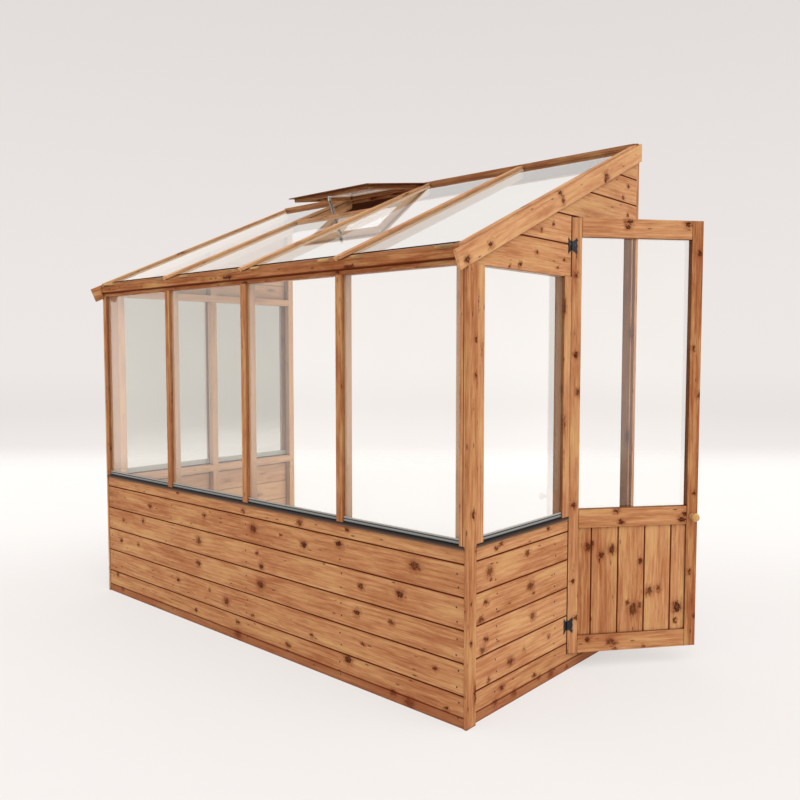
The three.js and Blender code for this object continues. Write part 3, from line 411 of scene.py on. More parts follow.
def wild_knot(s, wood, share):
    """Distance to the nearest scattered knot, of which only a share is kept."""
    distance, draws = s.cells(wood, WILD_KNOT_CELLS)
    spread = s.math("MULTIPLY_ADD", draws[1], WILD_KNOT_MORE_SHARE, WILD_KNOT_LEAST_SHARE)
    reach = s.math("DIVIDE", distance, spread)
    left_out = s.math("GREATER_THAN", draws[0], share)
    return s.math("ADD", reach, s.math("MULTIPLY", left_out, LEFT_OUT_DISTANCE))


def pin_knots(s, wood, share):
    """Pin knots and short dark dashes, of which only a share is kept."""
    distance, draws = s.cells(wood, PIN_KNOT_CELLS)
    kept = s.math("LESS_THAN", draws[0], share)
    return s.math("MULTIPLY", s.smooth(distance, *PIN_KNOT_RANGE, 1.0, 0.0), kept)


def board_lines(s, axes, boards, seams, seed):
    """Number of the board that a place is on, and how near it is to a joint."""
    board = seed
    joint = None
    if boards:
        axis, first, cover = boards
        lines = s.math("DIVIDE", s.math("SUBTRACT", axes[axis], first), cover)
        board = s.math("ADD", s.math("FLOOR", lines), seed)
        off_joint = s.math("SUBTRACT", s.math("FRACT", s.math("ADD", lines, 0.5)), 0.5)
        gap = s.math("MULTIPLY", s.math("ABSOLUTE", off_joint), cover)
        joint = s.smooth(gap, *GROOVE_REACH, 1.0, 0.0)
        joint = s.math("MULTIPLY", joint, s.math("GREATER_THAN", lines, -0.5))
    for axis, where, half in seams:
        gap = s.math("ABSOLUTE", s.math("SUBTRACT", axes[axis], where))
        seam = s.smooth(gap, half * SEAM_CORE_SHARE, half, SEAM_SHARE, 0.0)
        joint = pick(s, "MAXIMUM", joint, seam)
    return board, joint


def knot_shapes(s, along, wood, streaks, knots, wild_share):
    """Distance to the nearest knot, and the knots' dark cores, ringed eyes and soft flares."""
    warp = s.noise(along, *KNOT_WARP_NOISE, "Color")
    warp = s.vector("MULTIPLY", s.vector("SUBTRACT", warp, (0.5, 0.5, 0.5)), KNOT_WARP)
    near, flare = nearest_knot(s, s.vector("ADD", along, warp), knots)
    if wild_share:
        wild = wild_knot(s, s.vector("ADD", wood, warp), wild_share)
        near = pick(s, "MINIMUM", near, wild)
        flare = pick(s, "MINIMUM", flare, s.math("MULTIPLY", wild, WILD_FLARE_SHARE))
    ragged = s.math("SUBTRACT", streaks, 0.5)
    near = s.math("MULTIPLY_ADD", ragged, KNOT_RAGGED, near)
    flare = s.math("MULTIPLY_ADD", ragged, FLARE_RAGGED, flare)
    core = s.smooth(near, *KNOT_CORE_RANGE, 1.0, 0.0)
    rings = s.math("PINGPONG", s.math("MULTIPLY", near, KNOT_RINGS), 1.0)
    rings = s.weighted(s.smooth(rings, *KNOT_RING_RANGE), KNOT_RING_SHARE)
    specks = s.smooth(s.noise(along, *KNOT_SPECK_NOISE), *KNOT_SPECK_RANGE)
    eye = s.math("MULTIPLY", rings, s.weighted(specks, KNOT_SPECK_SHARE))
    return near, core, eye, s.smooth(flare, *KNOT_FLARE_RANGE, 1.0, 0.0)


def growth_lines(s, wood, near):
    """Growth lines that bow round the knots."""
    fall = s.math("EXPONENT", s.math("MULTIPLY", near, RING_BOW_FALL))
    drift = s.math("MULTIPLY", s.streaks(wood, *DRIFT_NOISE), RING_DRIFT)
    across, through = s.separate(s.vector("MULTIPLY", wood, RING_SCALES))[1:]
    bent = s.math("ADD", drift, s.math("MULTIPLY", fall, RING_BOW))
    lines = s.math("ADD", s.math("ADD", across, through), bent)
    return s.smooth(s.math("PINGPONG", lines, 1.0), *RING_RANGE)


def knot_stains(s, along, core, eye, halo, pins, knot_share):
    """Stains of the flares, the knots and the pin knots. Some knots are fainter than the others."""
    faint_share = knot_share * KNOT_FADED_SHARE
    strength = s.smooth(s.noise(along, *KNOT_FADE_NOISE), *KNOT_FADE_RANGE, faint_share, knot_share)
    dark = s.math("MULTIPLY", s.math("MULTIPLY", core, strength), s.weighted(eye, KNOT_EYE_SHARE))
    return [
        (s.math("MULTIPLY", halo, KNOT_FLARE_SHARE), PINE_FLARE),
        (dark, PINE_KNOT),
        (s.math("MULTIPLY", pins, PIN_KNOT_SHARE), PINE_KNOT),
    ]


def timber(name, grain="x", turn="house", seed=0.0, tone=0.0, boards=None, cross=None, knots=(),
           wild_share=0.5, pin_share=0.3, knot_share=1.0, seams=(), facing=None, side_share=0.6,
           side_reach=ALL_HEIGHTS, side_stain=PINE_SIDE_SHADE, crease_share=0.88, foot_share=0, wash=None,
           seen_pale_share=0):
    """Knotty stained pine.

    tone makes it darker. boards is (axis, first joint, cover) for V-jointed boards. cross is (grain, axis,
    bands) for the rails of a frame whose grain runs another way. knots are listed, as (along the grain,
    across it, half size in mm), knot_share is how dark they are, and wild_share and pin_share are the shares
    of scattered knots and pin knots that are kept. seams are the (axis, place, half width) of joints. facing
    is the direction of the broad faces. The edges beside them take side_share of side_stain,
    a painted shade, within the heights of side_reach. crease_share is the strength of the painted
    shade, dark lines in creases and corners. foot_share is that of the darker, redder band on the foot,
    partly the base rail's own wood and partly painted shade. seen_pale_share is how far the piece is
    painted paler where it is mirrored in glass. wash is (share, colour) of a painted shade over all of it.
    """
    s = new_shader(name)
    place = turned_place(s, turn)
    axes = dict(zip("xyz", s.separate(place)))
    along = grain_vector(s, place, grain)
    if cross:
        cross_grain, cross_axis, bands = cross
        mask = band_mask(s, axes[cross_axis], bands)
        along = s.mix(mask, along, grain_vector(s, place, cross_grain), "VECTOR")
    board, joint = board_lines(s, axes, boards, seams, seed)
    tint, shift, lean = s.random(s.combine(board, seed, BOARD_DRAW))
    shift = s.math("MULTIPLY", shift, BOARD_SHIFT_ALONG)
    lean = s.math("MULTIPLY", lean, BOARD_SHIFT_ACROSS)
    wood = s.vector("ADD", along, s.combine(shift, lean, seed))

    streaks = s.streaks(wood, *STREAK_NOISE)
    fibres = s.streaks(wood, *FIBRE_NOISE)
    cloud = s.streaks(wood, *CLOUD_NOISE)
    near, core, eye, halo = knot_shapes(s, along, wood, streaks, knots, wild_share)
    rings = growth_lines(s, wood, near)
    depth = s.math("MULTIPLY_ADD", rings, STAIN_RING_SHARE, tone + STAIN_BASE)
    depth = s.math("MULTIPLY_ADD", streaks, STAIN_STREAK_SHARE, depth)
    depth = s.math("MULTIPLY_ADD", fibres, STAIN_FIBRE_SHARE, depth)
    depth = s.math("MULTIPLY_ADD", cloud, STAIN_CLOUD_SHARE, depth)
    depth = s.math("MULTIPLY_ADD", tint, STAIN_BOARD_SHARE, depth)

    stains = [
        (s.smooth(cloud, *RED_RANGE, 0.0, RED_SHARE), PINE_RED),
        (s.smooth(cloud, *STRAW_RANGE, STRAW_SHARE, 0.0), PINE_STRAW),
    ]
    stains += knot_stains(s, along, core, eye, halo, pin_knots(s, wood, pin_share), knot_share)
    # Painted shade, partly the base rail's redder wood: a darker band below the foot line
    if foot_share:
        stains.append((s.smooth(axes["z"], TIMBER - FOOT_FADE, TIMBER, foot_share, 0.0), PINE_FOOT_SHADE))
    if joint is not None:
        stains.append((s.math("MULTIPLY", joint, GROOVE_SHARE), GROOVE_STAIN_AND_SHADE))
    # Painted shade: edge faces beside the broad faces are darkened, within the heights of side_reach
    if facing is not None:
        side = s.smooth(s.math("ABSOLUTE", s.facing_share(facing)), *SIDE_RANGE, side_share, 0.0)
        stains.append((s.math("MULTIPLY", side, band_mask(s, axes["z"], [side_reach])), side_stain))
    # Painted shade over the whole piece
    if wash:
        stains.append(wash)
    # Painted light: the piece is paler where it is seen mirrored in glass
    if seen_pale_share:
        stains.append((s.math("MULTIPLY", s.ray("Glossy"), seen_pale_share), PINE_GLASS_LIGHT))
    # Painted shade: darker in creases and beside other pieces, where little open air is within reach
    if crease_share:
        stains.append((s.smooth(s.open_share(CREASE_REACH), *CREASE_RANGE, crease_share, 0.0), GROOVE_STAIN_AND_SHADE))
    stains.append((s.math("MULTIPLY", s.ray("Diffuse"), BOUNCE_SHARE), PINE_BOUNCE))
    colour = s.ramp(depth, PINE_SHADES)
    for share, stain in stains:
        colour = s.mix(share, colour, stain)

    height = s.math("ADD", s.math("MULTIPLY", fibres, FIBRE_RELIEF), s.math("MULTIPLY", rings, RING_RELIEF))
    height = s.math("SUBTRACT", height, s.math("MULTIPLY", core, KNOT_RELIEF))
    return s.finish(s.principled(
        Base_Color=colour,
        Roughness=s.math("MULTIPLY_ADD", streaks, STREAK_ROUGHNESS, PINE_ROUGHNESS),
        Normal=s.bump(height, RELIEF_DEPTH, RELIEF_SHARE, s.soft_edge(EDGE_RADIUS)),
        Specular_IOR_Level=PINE_SPECULAR,
    ))


# What one face of a pane lets through, to the eye and to the light
GLASS_TINT = (0.985, 0.985, 0.975, 1)
# Painted shade: the left end's panes are tinted dark, lighter towards their foot
LEFT_GLASS_SHADE_TINT = (0.46, 0.45, 0.395, 1)
LEFT_FOOT_SHADE_TINT = (0.70, 0.69, 0.64, 1)
WALL_GLASS_SHADE = (1.0, 1.0, 1.0, 1)
ROOF_GLASS_SHADE = (0.4, 0.4, 0.4, 1)
BEDDED_SHADE = (0.97, 0.96, 0.93, 1)
GLASS_IOR = 1.5

# Heights in metres over which the painted shade of the left panes turns lighter towards their foot
FOOT_SHADE_REACH = (0.70, 0.90)

# Clouds of dust on the panes, and the opaque mottled brown painted on their cut edges
DUST_TINT = (0.70, 0.68, 0.64, 1)
DUST_NOISE = (3.0, 1.0)
DUST_RANGE = (0.35, 0.65)
DUST_SHARE = 0.04
CUT_EDGE_SHARE = 0.6
RIM_MOTTLE_SCALES = (90, 90, 90)
RIM_DARK = srgb(150, 122, 96)
RIM_PALE = srgb(186, 166, 138)
RIM_ROUGHNESS = 0.5


def sheet_glass(name, facing, tint, shade, bedded=None, foot_shade_tint=None):
    """Clear sheet glass with faint clouds of dust, and cut edges painted an opaque mottled brown.

    facing is the direction of its faces. In front of the bedded line the sheet lies on timber, which shows
    through it plainly. foot_shade_tint is the lighter painted shade of its lowest part.
    """
    s = new_shader(name)
    place = s.place()
    if foot_shade_tint is not None:
        tint = s.mix(s.smooth(s.separate(place)[2], *FOOT_SHADE_REACH, 1.0, 0.0), tint, foot_shade_tint)
    dust = s.smooth(s.noise(place, *DUST_NOISE), *DUST_RANGE, 0.0, DUST_SHARE)
    glass = s.principled(
        Base_Color=s.mix(dust, tint, DUST_TINT),
        Roughness=0.0,
        IOR=GLASS_IOR,
        Transmission_Weight=1.0,
    )
    # Painted light: the cut edges are opaque and mottled brown, in place of the light that glass carries
    # through them
    edge = s.math("LESS_THAN", s.math("ABSOLUTE", s.facing_share(facing)), CUT_EDGE_SHARE)
    rim_mottle = s.streaks(place, RIM_MOTTLE_SCALES)
    rim = s.principled(Base_Color=s.mix(rim_mottle, RIM_DARK, RIM_PALE), Roughness=RIM_ROUGHNESS)
    let_through = s.math("MAXIMUM", s.ray("Shadow"), s.ray("Diffuse"))
    if bedded is not None:
        on_timber = s.math("LESS_THAN", s.separate(place)[1], bedded)
        let_through = s.math("MAXIMUM", let_through, on_timber)
        shade = s.mix(on_timber, shade, BEDDED_SHADE)
    return s.finish(s.blend(let_through, s.blend(edge, glass, rim), s.clear(shade)))


# Shades of the plastic sill, by height above its seat in metres: black plastic with its light painted in,
# brown painted shade at the nose's foot and grey painted highlights on the upstand
SILL_SHADES = [
    (0.0, srgb(128, 90, 66)), (0.004, srgb(94, 70, 57)), (0.008, srgb(56, 47, 42)),
    (0.0115, srgb(40, 36, 34)), (0.0125, srgb(4, 4, 4)), (0.0165, srgb(6, 6, 6)),
    (0.0180, srgb(100, 101, 101)), (0.0215, srgb(146, 148, 147)), (0.0250, srgb(140, 141, 140)),
    (0.0262, srgb(50, 49, 48)), (0.0290, srgb(54, 52, 50)), (0.0305, srgb(150, 147, 142)),
    (0.0350, srgb(186, 182, 176)),
]
SILL_SPECK_NOISE = ((900, 900, 900), 2.0)
SILL_DUST_NOISE = ((6, 6, 60), 4.0, 0.65)
SILL_DUST = srgb(92, 86, 80)
SILL_DUST_SHARE = 0.16
SILL_ROUGHNESS = 0.45
SILL_DUST_ROUGHNESS = 0.25
SILL_SPECULAR = 0.08
SILL_RELIEF_DEPTH = 0.0002
SILL_RELIEF_SHARE = 0.3
# Painted light: paler colour on the sill face that looks towards the light
SILL_LIT = srgb(222, 218, 208)
SILL_NOSE_HEIGHT = 0.007
LIT_FACE_RANGE = (0.4, 0.6)


def black_plastic(name, lit_face=None):
    """Extruded black plastic sill: a dark nose and slope, and an upstand with painted highlights in grey
    bands.

    lit_face is the direction of a face that is painted paler, as if more lit.
    """
    s = new_shader(name)
    place = s.place()
    height = s.math("SUBTRACT", s.separate(place)[2], SILL_TOP)
    dust = s.streaks(place, *SILL_DUST_NOISE)
    span = SILL_SHADES[-1][0]
    shades = [(reach / span, shade) for reach, shade in SILL_SHADES]
    colour = s.ramp(s.math("DIVIDE", height, span), shades)
    colour = s.mix(s.math("MULTIPLY", dust, SILL_DUST_SHARE), colour, SILL_DUST)
    if lit_face:
        above = s.math("GREATER_THAN", height, SILL_NOSE_HEIGHT)
        back = s.math("MULTIPLY", above, s.smooth(s.facing_share(lit_face), *LIT_FACE_RANGE))
        colour = s.mix(back, colour, SILL_LIT)
    return s.finish(s.principled(
        Base_Color=colour,
        Roughness=s.math("MULTIPLY_ADD", dust, SILL_DUST_ROUGHNESS, SILL_ROUGHNESS),
        Specular_IOR_Level=SILL_SPECULAR,
        Normal=s.bump(s.streaks(place, *SILL_SPECK_NOISE), SILL_RELIEF_DEPTH, SILL_RELIEF_SHARE),
    ))


BRUSHED_NOISE = ((1400, 1400, 90), 3.0)
SMUDGE_NOISE = (55.0, 3.0, 0.6)
SMUDGE_ROUGHNESS = 0.22
WORN_RANGE = (0.56, 0.75)
WORN_METAL = srgb(176, 174, 168)
BRUSHED_DEPTH = 0.0002
BRUSHED_SHARE = 0.35
# Painted shade in the channel down the middle of the stay
CHANNEL_SHADE = srgb(58, 48, 42)
CHANNEL_HALF = 0.0032
CHANNEL_CORE_SHARE = 0.8
CHANNEL_SHARE = 0.9


def metal(name, dark, light, roughness, metallic, wear_share, channel_half=0.0):
    """Metal with brushed streaks, fingermarks and worn bright spots.

    channel_half is half the width of the painted shade in the channel that runs down the middle of the stay.
    """
    s = new_shader(name)
    place = s.place()
    smudge = s.noise(place, *SMUDGE_NOISE)
    worn = s.smooth(smudge, *WORN_RANGE, 0.0, wear_share)
    colour = s.mix(worn, s.mix(smudge, dark, light), WORN_METAL)
    if channel_half:
        y, z = s.separate(place)[1:]
        across = s.math("MULTIPLY", s.math("SUBTRACT", y, STAY_PIVOT_Y), math.cos(STAY_LEAN))
        across = s.math("MULTIPLY_ADD", s.math("SUBTRACT", z, STAY_PIVOT_Z), math.sin(STAY_LEAN), across)
        core = channel_half * CHANNEL_CORE_SHARE
        middle = s.smooth(s.math("ABSOLUTE", across), core, channel_half, CHANNEL_SHARE, 0.0)
        colour = s.mix(middle, colour, CHANNEL_SHADE)
    return s.finish(s.principled(
        Base_Color=colour,
        Metallic=metallic,
        Roughness=s.math("MULTIPLY_ADD", smudge, SMUDGE_ROUGHNESS, roughness),
        Normal=s.bump(s.streaks(place, *BRUSHED_NOISE), BRUSHED_DEPTH, BRUSHED_SHARE),
    ))


KNOB_FINE_NOISE = ((420, 60, 420), 3.0)
KNOB_BAND_NOISE = ((520, 8, 8), 1.0)
KNOB_PALE = srgb(220, 172, 104)
KNOB_WARM = srgb(178, 124, 60)
KNOB_BAND = srgb(176, 122, 60)
KNOB_BAND_SHARE = 0.25
KNOB_RING = srgb(120, 74, 34)
KNOB_RING_RADIUS = 0.0085
KNOB_RING_REACH = (0.0006, 0.002)
KNOB_RING_SHARE = 0.5
# Painted shade in the knob's creases
KNOB_CREASE_SHADE = srgb(92, 50, 22)
KNOB_CREASE_REACH = 0.012
KNOB_CREASE_RANGE = (0.4, 0.9)
KNOB_CREASE_SHARE = 0.85
KNOB_ROUGHNESS = 0.38
KNOB_RELIEF_DEPTH = 0.0003
KNOB_RELIEF_SHARE = 0.4
KNOB_COAT_SHARE = 0.25
KNOB_COAT_ROUGHNESS = 0.25


def turned_pine():
    """Pale sealed pine with turning rings, and painted shade in its creases."""
    s = new_shader("knob_wood")
    place = turned_place(s, "door")
    y, z = s.separate(place)[1:]
    fine = s.streaks(place, *KNOB_FINE_NOISE)
    band = s.math("MULTIPLY", s.streaks(place, *KNOB_BAND_NOISE), KNOB_BAND_SHARE)
    reach = s.vector("DISTANCE", s.combine(0.0, y, z), (0.0, KNOB_ALONG, KNOB_HEIGHT))
    off_ring = s.math("ABSOLUTE", s.math("SUBTRACT", reach, KNOB_RING_RADIUS))
    ring = s.smooth(off_ring, *KNOB_RING_REACH, KNOB_RING_SHARE, 0.0)
    crease = s.smooth(s.open_share(KNOB_CREASE_REACH), *KNOB_CREASE_RANGE, KNOB_CREASE_SHARE, 0.0)
    colour = s.mix(fine, KNOB_PALE, KNOB_WARM)
    for share, stain in ((band, KNOB_BAND), (ring, KNOB_RING), (crease, KNOB_CREASE_SHADE)):
        colour = s.mix(share, colour, stain)
    return s.finish(s.principled(
        Base_Color=colour,
        Roughness=KNOB_ROUGHNESS,
        Normal=s.bump(fine, KNOB_RELIEF_DEPTH, KNOB_RELIEF_SHARE),
        Coat_Weight=KNOB_COAT_SHARE,
        Coat_Roughness=KNOB_COAT_ROUGHNESS,
    ))


STOP_PATCH_NOISE = ((9, 30, 30), 3.0, 0.6)
STOP_PATCH_RANGE = (0.38, 0.62)
STOP_OLIVE = srgb(110, 84, 30)
STOP_YELLOW = srgb(178, 142, 62)
STOP_ROUGHNESS = 0.5
STOP_RELIEF_DEPTH = 0.0003
STOP_RELIEF_SHARE = 0.3


def olive_plastic():
    """Olive strip, yellowed in patches."""
    s = new_shader("stop_plastic")
    patch = s.streaks(s.place(), *STOP_PATCH_NOISE)
    return s.finish(s.principled(
        Base_Color=s.mix(s.smooth(patch, *STOP_PATCH_RANGE), STOP_OLIVE, STOP_YELLOW),
        Roughness=STOP_ROUGHNESS,
        Normal=s.bump(patch, STOP_RELIEF_DEPTH, STOP_RELIEF_SHARE),
    ))


def dress(node, material):
    """Gives every material slot of a solid the same material."""
    mesh = nodes[node].data
    if not mesh.materials:
        mesh.materials.append(material)
    for index in range(len(mesh.materials)):
        nodes[node].material_slots[index].link = "OBJECT"
        nodes[node].material_slots[index].material = material


slope_facing = (0, -math.sin(ROOF_SLOPE), math.cos(ROOF_SLOPE))
vent_facing = (0, -math.sin(VENT_SLOPE), math.cos(VENT_SLOPE))
door_facing = (math.cos(DOOR_TURN), -math.sin(DOOR_TURN), 0)
lower_boards = ("z", BOTTOM_BOARD, BOARD_COVER)
gable_boards = ("z", END_HEAD + GABLE_BOARD, GABLE_COVER)
door_boards = ("y", DOOR_FIRST_BOARD, DOOR_BOARD_COVER)
# Dark line at the fascia's foot: partly the joint, partly painted shadow under the fascia's step
fascia_seam_and_shadow = [("z", FASCIA_BOTTOM, FASCIA_SEAM_AND_SHADOW_HALF)]
foot_line = [("z", TIMBER, FOOT_SEAM_HALF)]
rail_ends = [("y", edge, BUTT_SEAM_HALF) for edge in STILE_EDGES]
corner_seam = [("x", CORNER_SEAM_X, BUTT_SEAM_HALF)]
trim_edge = [("y", TRIM_EDGE_Y, TRIM_SEAM_HALF)]
rail_bands = [(0, TIMBER), (SILL_TOP - TIMBER, SILL_TOP), (END_HEAD, END_HEAD + TIMBER), GABLE_RAIL]

# Listed knots: place along the grain and across it in metres, and half size in millimetres
FRONT_KNOTS = [
    (-0.54, 0.62, 6), (-0.02, 0.60, 8), (0.36, 0.60, 10), (0.64, 0.615, 7),
    (-0.80, 0.52, 9), (-0.32, 0.535, 9), (0.05, 0.53, 14), (0.24, 0.53, 5), (0.385, 0.515, 11),
    (0.595, 0.55, 11), (0.99, 0.535, 15), (-1.07, 0.41, 7), (-0.87, 0.43, 8), (-0.37, 0.41, 13),
    (0.075, 0.425, 7), (0.105, 0.37, 9), (0.715, 0.405, 10), (0.92, 0.415, 13), (-1.095, 0.295, 8),
    (-0.92, 0.30, 6), (-0.375, 0.30, 11), (0.095, 0.29, 15), (0.695, 0.295, 10), (0.875, 0.30, 8),
    (-1.14, 0.10, 9), (-0.55, 0.185, 7), (-0.285, 0.185, 6), (-0.155, 0.16, 13), (0.04, 0.14, 6),
    (0.43, 0.145, 6), (0.725, 0.18, 6), (1.085, 0.18, 6), (-1.09, 0.03, 8), (-0.40, 0.065, 7),
    (-0.07, 0.083, 7), (0.28, 0.065, 8), (-0.07, 0.025, 14), (0.645, 0.10, 13), (1.14, 0.05, 7),
    (0.965, 0.02, 14), (0.885, 0.035, 9),
]
RIGHT_KNOTS = [
    (0.51, 0.615, 6), (0.155, 0.60, 6), (0.185, 0.615, 7), (0.115, 0.525, 12), (0.36, 0.545, 9),
    (0.12, 0.495, 5), (0.095, 0.42, 8), (0.385, 0.415, 13), (0.405, 0.38, 5), (0.065, 0.365, 9),
    (0.40, 0.295, 11), (0.095, 0.285, 9), (0.075, 0.25, 10), (0.52, 0.18, 6), (0.34, 0.18, 7),
    (0.25, 0.16, 12), (0.115, 0.13, 7), (0.415, 0.055, 7), (0.195, 0.077, 8), (0.275, 0.03, 10),
    (0.54, 0.025, 12), (0.45, 0.033, 7), (0.66, 0.015, 6), (0.155, 0.035, 9),
]
GABLE_KNOTS = [
    (0.405, 1.68, 7), (0.29, 1.625, 7), (0.52, 1.80, 6), (0.435, 1.765, 5), (0.605, 1.67, 5),
    (0.225, 1.615, 5), (1.145, 2.035, 6), (1.10, 1.98, 6), (1.145, 1.91, 5), (0.555, 1.635, 4),
]
BARGE_KNOTS = [
    (0.762, 1.498, 9), (1.287, 1.50, 9), (1.276, 1.535, 10), (1.665, 1.497, 12), (1.654, 1.482, 8),
    (0.616, 1.492, 9),
]
TRIM_KNOTS = [
    (1.43, 0.04, 6), (1.35, 0.01, 6), (1.28, 0.04, 7), (1.225, 0.01, 7), (1.20, 0.026, 8),
    (0.75, 0.0, 8), (1.53, 0.04, 6), (0.62, 0.02, 7), (0.30, -0.01, 6),
]
HINGE_STILE_KNOTS = [
    (0.685, 0.02, 8), (0.37, 0.022, 6), (0.22, 0.037, 7), (1.295, 0.023, 8), (1.145, 0.033, 9),
    (1.615, 0.019, 7),
]
LOCK_STILE_KNOTS = [
    (0.385, 0.536, 6), (0.20, 0.566, 7), (1.71, 0.553, 9), (1.32, 0.534, 6), (1.13, 0.565, 8),
    (0.72, 0.55, 7),
]
TOP_RAIL_KNOTS = [(0.24, 1.83, 10), (0.24, 1.808, 7), (0.50, 1.825, 9)]
MID_RAIL_KNOTS = [(0.206, 0.656, 8), (0.23, 0.61, 8), (0.512, 0.635, 9), (0.50, 0.61, 10)]
BOTTOM_RAIL_KNOTS = [
    (0.09, 0.125, 8), (0.188, 0.11, 10), (0.21, 0.10, 7), (0.21, 0.08, 5), (0.336, 0.08, 6),
]
DOOR_BOARD_KNOTS = [
    (0.508, 0.088, 11), (0.522, 0.108, 6), (0.493, 0.193, 12), (0.47, 0.147, 10), (0.44, 0.322, 8),
    (0.238, 0.292, 18), (0.254, 0.321, 9), (0.267, 0.267, 6), (0.312, 0.363, 11), (0.321, 0.402, 9),
    (0.236, 0.489, 16), (0.182, 0.481, 7),
]

# Looks of each timber piece, in the words of the function timber
TIMBERS = {
    "front_base_rail": dict(grain="x"),
    "front_sill_rail": dict(grain="x"),
    "front_head_rail": dict(grain="x", tone=0.4, crease_share=0, seams=fascia_seam_and_shadow, wild_share=0.8),
    "eave_fascia": dict(grain="x", tone=0.46, crease_share=0, seams=fascia_seam_and_shadow, wild_share=0.8,
                        pin_share=0.8),
    "front_cladding": dict(grain="x", boards=lower_boards, knots=FRONT_KNOTS, wild_share=0, tone=-0.04,
                           seams=foot_line, foot_share=0.5),
    "right_lower_cladding": dict(grain="y", boards=lower_boards, knots=RIGHT_KNOTS, wild_share=0,
                                 tone=0.02, seams=foot_line, foot_share=0.5, knot_share=0.8),
    # Painted light: the left end's inside faces are given a paler tone, and are paler still where mirrored
    # in glass
    "left_lower_cladding": dict(grain="y", boards=lower_boards, tone=-0.36, seen_pale_share=0.35),
    "right_gable_cladding": dict(grain="y", boards=gable_boards, knots=GABLE_KNOTS, wild_share=0,
                                 tone=-0.14, seen_pale_share=0.9),
    # Painted light: a paler tone for the left gable's inside face, paler still where mirrored in glass
    "left_gable_cladding": dict(grain="y", boards=gable_boards, tone=-0.36, seen_pale_share=0.35),
    "right_end_frame": dict(grain="zy", cross=("y", "z", rail_bands), pin_share=0.5, facing=(1, 0, 0),
                            seams=trim_edge, crease_share=0.5, seen_pale_share=0.25),
    # Painted light: a paler tone for the left frame, paler still where mirrored in glass
    "left_end_frame": dict(grain="zy", cross=("y", "z", rail_bands), tone=-0.32, facing=(1, 0, 0),
                           side_share=0.5, side_reach=(SILL_TOP, END_HEAD), seen_pale_share=0.3,
                           crease_share=0.5),
    "right_rear_post": dict(grain="zy", tone=0.1, facing=(1, 0, 0)),
    "right_corner_trim": dict(grain="zy", knots=TRIM_KNOTS, wild_share=0.4, pin_share=0.6, tone=0.26),
    "left_corner_trim": dict(grain="zy"),
    "right_barge": dict(grain="y", turn="slope", tone=-0.08, knots=BARGE_KNOTS, wild_share=0),
    "left_barge": dict(grain="y", turn="slope"),
    # Painted shade: the rail's edge faces below its lip, in the hollow under the vent, are darkened
    "wall_rail": dict(grain="x", tone=0.12, facing=slope_facing, side_share=0.9,
                      side_reach=(0, WALL_RAIL_LIP), side_stain=PINE_HOLLOW_SHADE),
    "vent_transom": dict(grain="x", tone=-0.1, crease_share=0.5, seen_pale_share=0.6),
    # Painted shade: the vent's underside, which hangs in shade, is darkened by tone, and the cover's also by
    # wash
    "vent_frame": dict(grain="y", turn="vent", cross=("x", "y", VENT_RAILS), tone=0.2,
                       seen_pale_share=0.95),
    "vent_cover": dict(grain="y", turn="vent", cross=("x", "y", COVER_RAILS), tone=0.5,
                       wash=(0.35, PINE_SIDE_SHADE), seen_pale_share=0.95),
    "door_hinge_stile": dict(grain="zy", turn="door", knots=HINGE_STILE_KNOTS, wild_share=0.2,
                             pin_share=0.6, tone=-0.08, facing=door_facing),
    "door_lock_stile": dict(grain="zy", turn="door", knots=LOCK_STILE_KNOTS, wild_share=0.2,
                            pin_share=0.5, tone=0.24, facing=door_facing),
    "door_top_rail": dict(grain="y", turn="door", tone=-0.02, knots=TOP_RAIL_KNOTS, wild_share=0,
                          seams=rail_ends, facing=door_facing),
    "door_mid_rail": dict(grain="y", turn="door", tone=-0.08, knots=MID_RAIL_KNOTS, wild_share=0,
                          seams=rail_ends, facing=door_facing),
    "door_bottom_rail": dict(grain="y", turn="door", knots=BOTTOM_RAIL_KNOTS, wild_share=0,
                             seams=rail_ends, facing=door_facing),
    "door_boards": dict(grain="zy", turn="door", boards=door_boards, knots=DOOR_BOARD_KNOTS,
                        wild_share=0, tone=0.06),
}
for number in range(1, 6):
    TIMBERS[f"front_post_{number}"] = dict(grain="z", tone=0.2, pin_share=0.8, facing=(0, 1, 0),
                                           side_share=0.25, crease_share=0.3, seen_pale_share=0.35)
    TIMBERS[f"roof_bar_{number}"] = dict(grain="y", turn="slope", tone=-0.25, crease_share=0,
                                         seen_pale_share=0.95)
TIMBERS["front_post_5"].update(tone=0.02, side_share=0.1, seams=corner_seam)

panes = {
    "front": sheet_glass("front_glass", (0, 1, 0), GLASS_TINT, WALL_GLASS_SHADE),
    "right": sheet_glass("right_glass", (1, 0, 0), GLASS_TINT, WALL_GLASS_SHADE),
    "left": sheet_glass("left_glass", (1, 0, 0), LEFT_GLASS_SHADE_TINT, WALL_GLASS_SHADE,
                        foot_shade_tint=LEFT_FOOT_SHADE_TINT),
    "door": sheet_glass("door_glass", door_facing, GLASS_TINT, WALL_GLASS_SHADE),
    "roof": sheet_glass("roof_glass", slope_facing, GLASS_TINT, ROOF_GLASS_SHADE, bedded=EAVE_BED_Y),
    "vent": sheet_glass("vent_glass", vent_facing, GLASS_TINT, ROOF_GLASS_SHADE),
}
plastic = black_plastic("sill_plastic")
left_plastic = black_plastic("left_sill_plastic", lit_face=(1, 0, 0))
black_metal = metal("hinge_metal", srgb(22, 23, 26), srgb(48, 53, 58),
                    roughness=0.36, metallic=0.6, wear_share=0.35)
bright_metal = metal("stay_metal", srgb(150, 150, 148), srgb(196, 196, 194),
                     roughness=0.24, metallic=1.0, wear_share=0.1)
stay_metal = metal("stay_bar_metal", srgb(120, 116, 110), srgb(164, 160, 154),
                   roughness=0.4, metallic=0.8, wear_share=0.1, channel_half=CHANNEL_HALF)
knob_wood = turned_pine()

